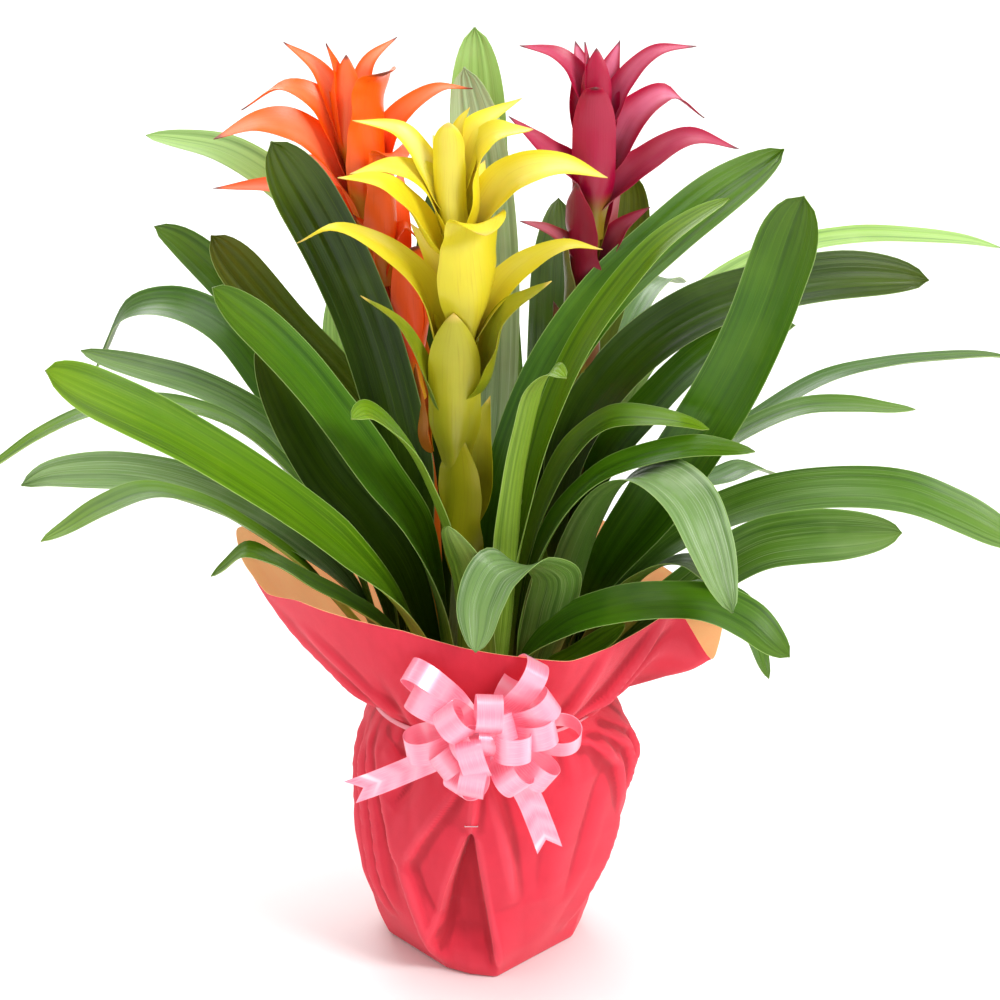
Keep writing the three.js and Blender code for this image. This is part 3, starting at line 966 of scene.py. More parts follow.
CROWNS = [
    Crown(
        "orange",
        [
            Leaf(DARK, RIDGED, 0.88, turn=-58, wide=1.12), Leaf(PALE, turn=-16, wide=1.05),
            Leaf(MID, blunt=0.86), Leaf(OLIVE, RIDGED, 0.9, turn=-26, wide=1.2), Leaf(MID, blunt=0.84),
            Leaf(PAINTED_SHEEN, turn=-12), Leaf(BRIGHT), Leaf(SILVER, RIDGED), Leaf(BRIGHT), Leaf(PALE, wide=1.1),
            Leaf(FROST, RIDGED, 0.86, turn=38, wide=1.3), Leaf(MID), Leaf(DARK), Leaf(MID),
        ],
    ),
    Crown(
        "yellow",
        [
            Leaf(MID, blunt=0.84), Leaf(BRIGHT, blunt=0.9, wide=1.05), Leaf(DARK, turn=-10), Leaf(BRIGHT),
            Leaf(BRIGHT), Leaf(MID, turn=20), Leaf(BRIGHT), Leaf(MID, blunt=0.84), Leaf(BRIGHT), Leaf(MID),
            Leaf(BRIGHT), Leaf(MID, RIDGED, 0.84), Leaf(BRIGHT, turn=-14), Leaf(SILVER),
        ],
    ),
    Crown(
        "magenta",
        [
            Leaf(MID, blunt=0.9, turn=42, wide=1.1), Leaf(DARK, RIDGED, 0.86, turn=10), Leaf(PALE), Leaf(MID),
            Leaf(MID), Leaf(PAINTED_SHEEN), Leaf(PAINTED_SHEEN, blunt=0.86, turn=10), Leaf(PAINTED_SHEEN, turn=22, wide=1.2),
            Leaf(SILVER, RIDGED, 0.74), Leaf(MID), Leaf(DARK), Leaf(OLIVE), Leaf(MID),
            Leaf(PALE, RIDGED, 0.86, turn=-24, wide=1.25), Leaf(MID), Leaf(DARK), Leaf(MID),
        ],
    ),
]


# ---- flower spikes ----


@dataclass(frozen=True)
class BractFinish(Finish):
    """The colours of one spike's bracts.

    Attributes:
        high: Their colour at the spike's top.
        low: Their colour at its foot.
        pale: The paler colour in the middle of some bracts, partly their own colour and partly a painted
            highlight.
        base: The colour at the foot of a bract.
        green: The colour of a bract that hasn't coloured yet.
        tip: The colour of their thin tips.
    """

    high: Colour
    low: Colour
    pale: Colour
    base: Colour
    green: Colour
    tip: Colour

    def dress(self, shader: Shader) -> None:
        """Colours each bract by its UV map and its numbers.

        Args:
            shader: The material's shader.
        """
        seed, flat = shader.attribute("seed"), shader.uv()
        along, across, _ = shader.parts(flat)
        aside = shader.math("ABSOLUTE", shader.math("SUBTRACT", across, 0.5))
        streaks = shader.noise(shader.scaled(flat, (3.0, 34.0, 1.0)), 1.0, 3.0, seed)
        clouds = shader.noise(shader.object_place(), 26.0, 3.0, seed)
        colour = shader.mix(shader.attribute("climb"), self.low, self.high)
        # Paler middles, partly a painted highlight, where a bract's pale number and the clouds allow.
        soft = shader.math("MULTIPLY", shader.attribute("pale"), shader.ease(aside, 0.46, 0.12))
        soft = shader.math("MULTIPLY", soft, shader.ease(clouds, 0.25, 0.6, 0.5, 0.8))
        colour = shader.mix(soft, colour, self.pale)
        patchy = shader.ease(clouds, 0.2, 0.7, 0.55, 1.0)
        greenness = shader.math("MULTIPLY", shader.attribute("green"), patchy)
        colour = shader.mix(greenness, colour, self.green)
        foot = shader.math("ADD", along, shader.math("MULTIPLY", shader.math("SUBTRACT", clouds, 0.5), 0.3))
        colour = shader.mix(shader.ease(foot, 0.3, 0.08, 0.0, 0.85), colour, self.base)
        colour = shader.mix(shader.ease(along, 0.93, 0.985, 0.0, 0.9), colour, self.tip)
        shadow = shader.mix(1.0, colour, (0.78, 0.62, 0.6), "MULTIPLY")
        shader.set(
            base_color=shader.mix(shader.ease(streaks, 0.5, 0.8, 0.0, 0.5), colour, shadow),
            roughness=shader.ease(streaks, 0.2, 0.8, 0.34, 0.46),
            subsurface_weight=0.15,
            subsurface_radius=(1.0, 0.45, 0.2),
            subsurface_scale=0.003,
            coat_weight=0.08,
            coat_roughness=0.3,
        )
        shader.bump(streaks, 0.0004, 0.35)


@dataclass(frozen=True)
class Bract:
    """One bract of a spike.

    Attributes:
        height: Where it leaves the stem, in millimetres above the floor.
        around: The side of the stem that it grows on, in degrees from +X.
        width: The width that shows of it, in millimetres.
        rise: Its reach from the stem and its climb above its foot, out to its tip, in millimetres.
        pale: How pale its middle is, from 0 to 1, partly a painted highlight.
        green: How green it still is, from 0 to 1.
        full: How broad it stays up to its tip: 0 tapers from its middle, and 1 is a blunt strap.
    """

    height: float
    around: float
    width: float
    rise: tuple[tuple[float, float], ...]
    pale: float = 0.0
    green: float = 0.0
    full: float = 0.0

    def build(self, stem: Line, name: str, finish: bpy.types.Material) -> bpy.types.Object:
        """Models the bract on its stem.

        Args:
            stem: The stem's line.
            name: The bract's name.
            finish: Its material.

        Returns:
            The bract.
        """
        climbs = stem.dense[:, 2]
        foot = np.array([np.interp(self.height * MM, climbs, stem.dense[:, i]) for i in range(3)])
        low = max(self.height * MM - SHEATH, float(climbs[0]))
        under = np.array([np.interp(low, climbs, stem.dense[:, i]) for i in range(3)])
        outward = heading(self.around)
        steps = [(0.0, 0.0), *self.rise]
        rise = [foot + MM * (reach * outward + climb * UP) for reach, climb in steps]
        line = Line(np.array([under, *rise]))
        turn = BRACT_TURN * math.cos(math.radians(self.around))
        side = turned(np.cross(UP, outward), line.direction(0.5)[0], turn)
        width = (self.width * BROADER + MARGIN) * MM
        blade = Blade(
            middle=line,
            sides=np.array([side, side]),
            shares=np.array([0.0, 1.0]),
            width=width,
            foot_width=blend(11.0, 19.0, self.full) * MM / width,
            widest=0.4,
            taper_from=blend(0.46, 0.78, self.full),
            tip_bend=blend(1.6, 2.2, self.full),
            tip_flat=blend(1.05, 0.8, self.full),
            channel=(0.5, 0.1),
            ripple=0.03,
            seed=name,
            along=40,
            across=12,
        )
        piece = blade.build(name, [finish])
        mark(piece, "pale", self.pale)
        mark(piece, "green", self.green)
        heights = coordinates(piece)[:, 2]
        mark(piece, "climb", smooth(float(climbs[0]) + 0.2, float(climbs[-1]) + 0.03, heights))
        return piece


@dataclass(frozen=True)
class Spike:
    """A flower spike: a stem and its bracts.

    Attributes:
        name: Its plant's name.
        stem: The points that the stem passes through, in millimetres.
        finish: Its colours.
        bracts: Its bracts.
        foot_radius: The stem's radius at its foot, in metres.
        top_radius: The stem's radius at its top, in metres.
    """

    name: str
    stem: tuple[Place, ...]
    finish: BractFinish
    bracts: tuple[Bract, ...]
    foot_radius: float = 6.0 * MM
    top_radius: float = 3.2 * MM

    def build(self) -> bpy.types.Object:
        """Models the spike as one piece.

        Returns:
            The spike.
        """
        line = Line(np.array(self.stem) * MM)
        finish = self.finish.material(f"{self.name}_bracts")
        pieces = [self._stem(line, finish)]
        for number, bract in enumerate(self.bracts, start=1):
            pieces.append(bract.build(line, f"{self.name}_bract_{number}", finish))
        return stand_in(join(pieces, f"{self.name}_flower"), f"{self.name}_bracts", f"{self.name}_spike")

    def _stem(self, line: Line, finish: bpy.types.Material) -> bpy.types.Object:
        """Models the stem, which thins towards its top.

        Args:
            line: The stem's line.
            finish: Its material.

        Returns:
            The stem.
        """
        piece = sheet_grid(f"{self.name}_stem", 60, 16)

        def surface(share: Array, around: Array) -> Array:
            """A round tube that closes at both ends.

            Args:
                share: The shares along it.
                around: The shares of a turn.

            Returns:
                The place for each pair.
            """
            radius = blend(self.foot_radius, self.top_radius, share) * ((share > 0) & (share < 1))
            angle = 2.0 * math.pi * around
            ring = np.stack([np.cos(angle), np.sin(angle), np.zeros_like(angle)], axis=1)
            return line.at(share) + ring * radius[:, None]

        spread(piece, surface)
        close_seams(piece)
        piece.data.materials.append(finish)
        for attribute, value in (("seed", 3.0), ("pale", 0.0), ("green", 0.35), ("climb", 0.3)):
            mark(piece, attribute, value)
        shade(piece, 60.0)
        return piece


# How far the bracts at the sides turn to the front, in degrees, and how far a bract's foot wraps down the
# stem. How much broader a bract is than what shows of it: a factor, and a margin in millimetres.
BRACT_TURN = 50.0
SHEATH = 26.0 * MM
BROADER = 1.12
MARGIN = 6.0

SPIKES = (
    Spike(
        "orange",
        ((-39, 25, 158.6), (-41, 29, 336), (-62, 30, 448), (-79, 32, 515), (-99, 34, 606)),
        BractFinish(
            high=srgb(255, 100, 2), low=srgb(222, 58, 0), pale=srgb(250, 160, 124),
            base=srgb(196, 150, 24), green=srgb(122, 130, 20), tip=srgb(90, 44, 40),
        ),
        (
            Bract(576, 172, 12, ((6, 24), (22, 56), (47, 74)), 0.75, 0),
            Bract(541, 188, 17, ((8, 30), (28, 70), (54, 82), (83, 66)), 0.3, 0),
            Bract(526, 198, 21, ((12, 34), (48, 70), (76, 76), (108, 66)), 0.5, 0, 0.3),
            Bract(581, 200, 14, ((4, 25), (8, 50), (16, 70)), 0, 0),
            Bract(587, 262, 15, ((3, 20), (5, 42), (4, 56)), 0.3, 0, 0.5),
            Bract(547, 300, 30, ((5, 30), (9, 58), (19, 84), (36, 90)), 0, 0, 1),
            Bract(581, 30, 10, ((5, 25), (14, 55), (37, 70)), 0.6, 0),
            Bract(536, 5, 14, ((6, 30), (20, 62), (50, 83), (74, 82)), 0.35, 0),
            Bract(508, 302, 28, ((5, 28), (9, 54), (20, 74), (36, 68)), 0, 0, 1),
            Bract(510, 172, 12, ((12, 22), (60, 40), (114, 36)), 0.3, 0),
            Bract(520, 150, 14, ((10, 20), (45, 42), (80, 40)), 0.4, 0),
            Bract(495, 340, 14, ((6, 18), (18, 30), (28, 22)), 0.1, 0),
            Bract(470, 215, 22, ((7, 25), (14, 50), (30, 66)), 0.1, 0),
            Bract(425, 288, 23, ((7, 30), (10, 58), (14, 84), (22, 90)), 0, 0, 0.9),
            Bract(425, 350, 14, ((6, 30), (8, 55), (10, 80)), 0.8, 0),
            Bract(536, 95, 18, ((8, 28), (28, 60), (60, 75)), 0.3, 0),
            Bract(480, 80, 22, ((8, 25), (25, 55), (55, 70)), 0.2, 0),
            Bract(385, 110, 20, ((8, 30), (14, 60), (24, 80)), 0, 0.5),
            Bract(360, 235, 20, ((7, 25), (9, 50), (12, 72)), 0, 0.6),
        ),
    ),
    Spike(
        "yellow",
        (
            (-5, -40, 158.6), (-16, -40, 304), (-22, -40, 388), (-16, -40, 482), (-23, -41, 553),
            (-30, -42, 598),
        ),
        BractFinish(
            high=srgb(232, 214, 34), low=srgb(196, 180, 20), pale=srgb(250, 240, 160),
            base=srgb(196, 184, 50), green=srgb(104, 128, 14), tip=srgb(222, 190, 90),
        ),
        (
            Bract(551, 185, 13, ((6, 14), (15, 32), (34, 57), (66, 64)), 0.6, 0),
            Bract(563, 262, 14, ((4, 20), (6, 38), (7, 51)), 0.25, 0, 1),
            Bract(576, 10, 10, ((3, 15), (8, 35), (15, 46)), 0.2, 0),
            Bract(561, 20, 15, ((5, 22), (18, 48), (50, 64)), 0.2, 0),
            Bract(535, 335, 25, ((5, 30), (11, 56), (26, 72), (56, 78)), 0.1, 0, 0.4),
            Bract(536, 195, 17, ((6, 22), (18, 40), (44, 50), (72, 46)), 0.15, 0),
            Bract(520, 210, 17, ((14, 16), (34, 42), (58, 60), (90, 66)), 0, 0),
            Bract(528, 348, 21, ((10, 22), (34, 50), (68, 60), (101, 52)), 0.4, 0, 0.2),
            Bract(482, 290, 36, ((6, 30), (12, 56), (26, 72), (44, 64)), 0.05, 0, 0.9),
            Bract(425, 190, 15, ((8, 40), (22, 80), (60, 112), (84, 120), (108, 110)), 0, 0),
            Bract(455, 355, 15, ((8, 22), (25, 47), (44, 64), (70, 76), (94, 73)), 0.1, 0.1),
            Bract(387, 268, 26, ((8, 42), (12, 78), (15, 99)), 0.05, 0.4, 0.7),
            Bract(420, 330, 24, ((12, 20), (22, 42), (34, 66), (72, 94)), 0.1, 0.8),
            Bract(390, 205, 10, ((12, 36), (38, 88), (68, 112)), 0, 1),
            Bract(536, 110, 17, ((6, 22), (20, 46), (48, 58)), 0.2, 0),
            Bract(505, 75, 20, ((8, 25), (25, 55), (60, 68)), 0.2, 0),
            Bract(455, 135, 20, ((8, 28), (22, 58), (50, 80)), 0.2, 0),
            Bract(300, 248, 28, ((6, 35), (9, 70), (8, 98)), 0, 0.3, 0.7),
            Bract(330, 40, 24, ((7, 30), (14, 60), (26, 88)), 0.1, 0.5),
        ),
    ),
    Spike(
        "magenta",
        ((39, 25, 158.6), (52, 29, 290), (61, 30, 383), (70, 30, 480), (74, 31, 622)),
        BractFinish(
            high=srgb(172, 0, 56), low=srgb(96, 0, 32), pale=srgb(240, 140, 172),
            base=srgb(130, 122, 14), green=srgb(96, 104, 10), tip=srgb(98, 48, 50),
        ),
        (
            Bract(606, 270, 13, ((3, 14), (4, 28), (3, 42)), 0, 0, 0.4),
            Bract(604, 200, 10, ((4, 20), (8, 48)), 0.3, 0),
            Bract(599, 185, 12, ((6, 20), (17, 38), (28, 46), (52, 51)), 0.25, 0),
            Bract(584, 140, 20, ((5, 22), (10, 45), (18, 66)), 0.9, 0),
            Bract(584, 355, 12, ((8, 18), (18, 40), (40, 62), (68, 66)), 0.4, 0),
            Bract(584, 40, 18, ((5, 22), (12, 45), (22, 66)), 0.9, 0),
            Bract(541, 270, 21, ((7, 30), (9, 58), (15, 80), (25, 85)), 0, 0, 0.6),
            Bract(554, 5, 20, ((10, 22), (26, 48), (50, 62), (76, 44)), 0.8, 0),
            Bract(550, 195, 14, ((8, 12), (34, 32), (60, 54)), 0.2, 0),
            Bract(554, 120, 18, ((6, 15), (14, 32), (24, 40)), 0.8, 0),
            Bract(535, 352, 16, ((12, 18), (34, 36), (66, 54), (100, 46)), 0.2, 0),
            Bract(480, 240, 26, ((8, 30), (13, 54), (18, 78)), 0, 0, 0.6),
            Bract(485, 345, 16, ((8, 18), (22, 40), (42, 55)), 0.35, 0),
            Bract(490, 200, 9, ((10, 18), (30, 34), (52, 42)), 0.4, 0.2),
            Bract(436, 226, 25, ((8, 30), (14, 58), (20, 84)), 0, 1, 0.5),
            Bract(520, 85, 20, ((8, 25), (25, 55), (58, 66)), 0.3, 0),
            Bract(465, 60, 22, ((8, 28), (22, 56), (48, 74)), 0.2, 0.2),
            Bract(430, 320, 20, ((7, 28), (10, 50), (14, 70)), 0.1, 0.4),
            Bract(385, 130, 20, ((8, 30), (14, 60), (24, 80)), 0.2, 0.6),
            Bract(338, 260, 17, ((5, 20), (6, 34), (7, 46)), 0, 0.7),
        ),
    ),
)


# ---- the wrapping cloth ----


@dataclass
class Around:
    """Numbers that change smoothly round a ring.

    Attributes:
        stops: Rows of an azimuth in degrees and the numbers there, the azimuths rising from 0 to under 360.
        softness: How wide the corners are rounded, in thirds of a degree.
    """

    stops: Sequence[Sequence[float]]
    softness: int = 19

    def __post_init__(self) -> None:
        """Smooths the stops into a fine table."""
        rows = np.array(self.stops, float)
        turn = np.zeros(rows.shape[1])
        turn[0] = 360.0
        rows = np.vstack([rows[-2:] - turn, rows, rows[:2] + turn])
        fine = np.linspace(-30.0, 390.0, 1261)
        columns = [fine]
        for i in range(1, rows.shape[1]):
            known = np.interp(fine, rows[:, 0], rows[:, i])
            kernel = np.hanning(self.softness + 2)[1:-1]
            padded = np.pad(known, self.softness // 2, mode="edge")
            columns.append(np.convolve(padded, kernel / kernel.sum(), mode="valid"))
        self.table = np.stack(columns, axis=1)

    def at(self, azimuth: Array, column: int = 1) -> Array:
        """The number in a column at each azimuth."""
        return np.interp(azimuth % 360.0, self.table[:, 0], self.table[:, column])


def polygon(corners: Sequence[tuple[float, float]]) -> list[tuple[float, float]]:
    """Reads a polygon's straight sides as azimuths in degrees and distances from the middle.

    Args:
        corners: Its corners, in X and Y, counter-clockwise.

    Returns:
        The azimuths, rising from 0 to under 360, and the distances.
    """
    rows = []
    for (x, y), (next_x, next_y) in zip(corners, (*corners[1:], corners[0])):
        for share in np.linspace(0.0, 1.0, 24, endpoint=False):
            at_x, at_y = blend(x, next_x, share), blend(y, next_y, share)
            rows.append((math.degrees(math.atan2(at_y, at_x)) % 360.0, math.hypot(at_x, at_y)))
    return sorted(rows)


# How far a degree round the pot is along the cloth, in millimetres.
MM_PER_DEGREE = 1.6


@dataclass(frozen=True)
class Crease:
    """A fold in the cloth.

    Attributes:
        line: The azimuths, in degrees, and heights, in millimetres, that its crest follows.
        rise: How far it stands out, in millimetres; less than 0 is a hollow.
        left: How far it spreads to the left of its line's way, in millimetres.
        right: How far it spreads to the right.
        crisp: The power of its slopes: 1 is a straight slope to a crisp crest, and more is hollower.
    """

    line: tuple[tuple[float, float], ...]
    rise: float
    left: float
    right: float
    crisp: float = 1.4

    def height(self, azimuth: Array, up: Array) -> Array:
        """How far it lifts the cloth, in millimetres.

        Args:
            azimuth: The azimuths, in degrees.
            up: The heights along the cloth, in millimetres.

        Returns:
            The lift at each place.
        """
        line = np.array(self.line, float) * (MM_PER_DEGREE, 1.0)
        middle = line[:, 0].mean()
        across = (azimuth * MM_PER_DEGREE - middle + 180 * MM_PER_DEGREE) % (360 * MM_PER_DEGREE)
        places = np.stack([across + middle - 180 * MM_PER_DEGREE, up], axis=1)
        lengths = np.linalg.norm(np.diff(line, axis=0), axis=1)
        starts = np.concatenate([[0.0], np.cumsum(lengths)])
        best = np.full(len(places), 1e9)
        share, side = np.zeros(len(places)), np.ones(len(places))
        for i, (start, end) in enumerate(zip(line, line[1:])):
            way = (end - start) / lengths[i]
            away = places - start
            along = np.clip(away @ way, 0.0, lengths[i])
            apart = np.linalg.norm(away - along[:, None] * way, axis=1)
            nearer = apart < best
            best = np.where(nearer, apart, best)
            share = np.where(nearer, (starts[i] + along) / starts[-1], share)
            side = np.where(nearer, way[0] * away[:, 1] - way[1] * away[:, 0], side)
        reach = np.where(side > 0, self.left, self.right)
        fade = 1.0 - np.abs(2.0 * share - 1.0) ** 3
        return self.rise * np.clip(1.0 - best / reach, 0.0, 1.0) ** self.crisp * fade


@dataclass(frozen=True)
class ClothFinish(Finish):
    """A matt nonwoven cloth, pressed all over with fine dots.

    Attributes:
        colour: Its colour.
        deep: The colour of its darker clouds.
        crest: The lighter colour painted on its folds' crests, a painted highlight.
        glow: How brightly it glows by itself, a painted glow that stands in for light coming through it from
            behind.
        pitch: How far apart the dots are, in metres.
    """

    colour: Colour
    deep: Colour
    crest: Colour
    glow: float = 0.0
    pitch: float = 1.3 * MM

    def dress(self, shader: Shader) -> None:
        """Presses the dots by the cloth's flat UV map, in metres, and paints shade into its hollows and its
        pleat and a highlight onto its crests.

        Args:
            shader: The material's shader.
        """
        flat = shader.uv()
        fibres = shader.noise(flat, 1800.0, 4.0)
        clouds = shader.noise(flat, 42.0, 4.0)
        u, v, _ = shader.parts(shader.scaled(flat, (2 * math.pi / self.pitch, 2 * math.pi / self.pitch, 1.0)))
        dots = shader.math("MULTIPLY", shader.math("SINE", u), shader.math("SINE", v))
        colour = shader.mix(shader.ease(clouds, 0.35, 0.75, 0.0, 0.55), self.colour, self.deep)
        # Painted shade and painted highlight: the colour darkens where the cloth lies below its surroundings
        # or inside the pleat, and lightens on the crests.
        hollow = shader.attribute("hollow")
        painted_fold_shade = shader.mix(1.0, colour, (0.56, 0.4, 0.42), "MULTIPLY")
        colour = shader.mix(shader.ease(hollow, 0.5, 1.0, 0.0, 0.75), colour, painted_fold_shade)
        colour = shader.mix(shader.ease(hollow, 0.5, 0.05, 0.0, 0.3), colour, self.crest)
        speck = shader.mix(1.0, colour, (0.86, 0.8, 0.8), "MULTIPLY")
        shader.set(
            base_color=shader.mix(shader.ease(fibres, 0.45, 0.7, 0.0, 0.6), colour, speck),
            roughness=0.78,
            specular_ior_level=0.32,
            sheen_weight=0.18,
            sheen_roughness=0.5,
            sheen_tint=(1.0, 0.75, 0.75),
            subsurface_weight=0.2,
            subsurface_radius=(1.0, 0.3, 0.25),
            subsurface_scale=0.002,
            # Painted glow: the cloth lights itself, standing in for light through it from behind.
            emission_color=self.colour,
            emission_strength=self.glow,
        )
        shader.bump(shader.math("ADD", shader.math("MULTIPLY", dots, 0.5), fibres), 0.00018, 0.6)


@dataclass
class Wrapping:
    """The cloth that is gathered round the pot, from the middle of its underside to the collar's edge.

    Lengths are in millimetres. Heights count along the cloth: below 0 is the underside, then up the body to
    the neck, and then up the collar.

    Attributes:
        rows: How many steps the mesh has from the middle to the edge.
        columns: How many steps it has round the pot.
        foot_radius: The underside's radius if it had no corners.
        neck: The neck's height.
        collar: The collar's length above the neck.
        neck_radius: The neck's radius.
        tie_height: The tie's height.
        pleat_depth: How far the pleat under the staple goes in.
        base: The underside's radius at each azimuth.
        edge: The reach and the height of the collar's edge at each azimuth.
    """

    rows: int = 144
    columns: int = 322
    foot_radius: float = 60.0
    neck: float = 189.0
    collar: float = 100.0
    neck_radius: float = 80.4
    tie_height: float = 186.0
    pleat_depth: float = 12.0
    base: Around = field(default_factory=lambda: Around(polygon(BASE), 5))
    edge: Around = field(default_factory=lambda: Around(EDGE))

    def build(self) -> bpy.types.Object:
        """Models the cloth with its red outside and its peach inside.

        Returns:
            The cloth.
        """
        piece = sheet_grid("wrapping", self.rows, self.columns)
        flat = coordinates(piece)
        share, around = flat[:, 0] + 0.5, (0.5 - flat[:, 1]) * 360.0
        up = np.interp(share, (0.0, 0.07, 1.0), (-self.foot_radius, 0.0, self.neck + self.collar))
        azimuth = self._drawn(around, up)
        shape(piece, lambda _: self.places(azimuth, up) * MM)
        self._lay_flat(piece, up, azimuth)
        # These depths paint shade into the cloth's hollows and pleat and a highlight onto its crests.
        mark(piece, "hollow", self._painted_shade_depths(azimuth, up))
        close_seams(piece, 1e-5, outwards=False)
        apply(piece, "SMOOTH", factor=0.5, iterations=1)
        for name, finish in CLOTH_SIDES.items():
            piece.data.materials.append(finish.material(name))
        apply(piece, "SOLIDIFY", thickness=0.35 * MM, offset=-1.0, material_offset=1, material_offset_rim=1)
        shade(piece, 60.0)
        return stand_in(piece, "wrapping_cloth", "wrapping_cloth")

    def _drawn(self, around: Array, up: Array) -> Array:
        """Draws evenly spread columns to the pleat's borders, so that each border runs along one column.

        Args:
            around: The evenly spread azimuths, in degrees.
            up: The heights.

        Returns:
            The azimuths that they are drawn to.
        """
        start, left_at, right_at, end = PLEAT_COLUMNS
        back = smooth(121.0, 165.0, up)
        left = blend(np.interp(up, *zip(*PLEAT_LEFT)), left_at, back)
        right = blend(np.interp(up, *zip(*PLEAT_RIGHT)), right_at, back)
        before = start + (around - start) * (left - start) / (left_at - start)
        inside = left + (around - left_at) * (right - left) / (right_at - left_at)
        after = right + (around - right_at) * (end - right) / (end - right_at)
        reach = [around < start, around < left_at, around < right_at, around < end]
        return np.select(reach, [around, before, inside, after], around)

    def places(self, azimuth: Array, up: Array) -> Array:
        """The cloth's places, folds and all.

        Args:
            azimuth: The azimuths, in degrees.
            up: The heights.

        Returns:
            The places, in millimetres.
        """
        middle = self._form(azimuth, up)
        aside = self._form(azimuth + 0.3, up) - self._form(azimuth - 0.3, up)
        along = self._form(azimuth, up + 0.4) - self._form(azimuth, up - 0.4)
        outwards = unit(np.cross(aside, along))
        lift = self._folds(azimuth, up) + self._wrinkles(middle) * smooth(0.0, 14.0, up)
        away = up - self.tie_height
        held = 1.0 - smooth(3.0, 9.0, away) - smooth(3.0, 24.0, -away)
        return middle + outwards * (lift * (1.0 - held))[:, None]

    def _folds(self, azimuth: Array, up: Array) -> Array:
        """How far the folds lift the cloth, in millimetres."""
        lift = sum(crease.height(azimuth, up) for crease in CREASES)
        return (lift + self._pleat(azimuth, up) + self._gathers(azimuth, up)) * smooth(0.0, 14.0, up)

    def _painted_shade_depths(self, azimuth: Array, up: Array) -> Array:
        """How deep each place lies below the cloth round it, the pleat's inside counted deeper, for the
        cloth's painted shade and painted highlight.

        Args:
            azimuth: The azimuths, in degrees.
            up: The heights.

        Returns:
            The depths: 0 on a crest, 0.5 on flat cloth and 1 in a hollow.
        """
        reach = 5.0
        turn = reach / MM_PER_DEGREE
        round_it = [(turn, 0), (-turn, 0), (0, reach), (0, -reach), (turn, reach), (-turn, reach)]
        mean = sum(self._folds(azimuth + aside, up + above) for aside, above in round_it) / len(round_it)
        inside = self._pleat(azimuth, up) / -self.pleat_depth
        return np.clip(0.5 + 0.3 * (mean - self._folds(azimuth, up)) + 0.34 * inside, 0.0, 1.0)

    def _form(self, azimuth: Array, up: Array) -> Array:
        """The cloth's places without its folds.

        Args:
            azimuth: The azimuths, in degrees.
            up: The heights.

        Returns:
            The places, in millimetres.
        """
        round_ = np.stack([np.cos(np.radians(azimuth)), np.sin(np.radians(azimuth))], axis=1)
        right, left = np.maximum(round_[:, 0], 0.0) ** 2, np.maximum(-round_[:, 0], 0.0) ** 2
        front = round_[:, 1] ** 2
        height = np.clip(up, 0.0, self.neck)
        body = sum(
            weight * np.interp(height, BODY_HEIGHTS, radii)
            for weight, radii in zip((right, left, front), (BODY_RIGHT, BODY_LEFT, BODY_FRONT))
        )
        corner = self.base.at(azimuth)
        body += (corner - self.foot_radius) * (1.0 - smooth(0.0, 80.0, height))
        body *= np.clip(1.0 + up / self.foot_radius, 0.0, 1.0)
        share = np.clip((up - self.neck) / self.collar, 0.0, 1.02)
        reach, top = self.edge.at(azimuth, 1), self.edge.at(azimuth, 2)
        radius = np.where(up > self.neck, self.neck_radius + (reach - self.neck_radius) * share**0.92, body)
        level = np.where(up > self.neck, self.neck + (top - self.neck) * share**1.08, height)
        return np.column_stack([round_ * radius[:, None], level])

    def _pleat(self, azimuth: Array, up: Array) -> Array:
        """The pleat under the staple, a hollow that widens from its top down to the floor.

        Args:
            azimuth: The azimuths, in degrees.
            up: The heights.

        Returns:
            How far it lifts the cloth, in millimetres.
        """
        left = np.interp(up, *zip(*PLEAT_LEFT))
        right = np.interp(up, *zip(*PLEAT_RIGHT))
        inside = smooth(-0.9, 1.6, azimuth - left) * smooth(-0.9, 1.6, right - azimuth)
        return -self.pleat_depth * inside * smooth(4.0, 40.0, up) * (1.0 - smooth(115.0, 124.0, up))

    def _gathers(self, azimuth: Array, up: Array) -> Array:
        """The small folds that run to the tie from both sides.

        Args:
            azimuth: The azimuths, in degrees.
            up: The heights.

        Returns:
            How far they lift the cloth, in millimetres.
        """
        turn = np.radians(azimuth)
        waves = np.cos(23 * turn + 0.7) + 0.7 * np.cos(37 * turn + 2.1) + 0.5 * np.cos(11 * turn + 4.0)
        below = smooth(146.0, 172.0, up) * (up < self.tie_height)
        above = (1.0 - smooth(196.0, 250.0, up)) * (up >= self.tie_height)
        return waves * (1.2 * below + 1.3 * above)

    def _wrinkles(self, places: Array) -> Array:
        """Soft random unevenness.

        Args:
            places: The cloth's places, in millimetres.

        Returns:
            How far it lifts each, in millimetres.
        """
        wide = [noise.noise(Vector(place) / 34.0) for place in places]
        fine = [noise.noise(Vector(place) / 12.0) for place in places]
        return 0.8 * np.array(wide) + 0.12 * np.array(fine)

    def _lay_flat(self, piece: bpy.types.Object, up: Array, azimuth: Array) -> None:
        """Gives the cloth the UV map of its flat cut, in metres.

        Args:
            piece: The cloth.
            up: The heights.
            azimuth: The azimuths, in degrees.
        """
        distance = (up + self.foot_radius) * MM
        turn = np.radians(azimuth)
        flat = np.stack([distance * np.cos(turn), distance * np.sin(turn)], axis=1)
        corners = np.empty(len(piece.data.loops), np.int32)
        piece.data.loops.foreach_get("vertex_index", corners)
        piece.data.uv_layers.active.data.foreach_set("uv", flat[corners].astype(np.float32).ravel())


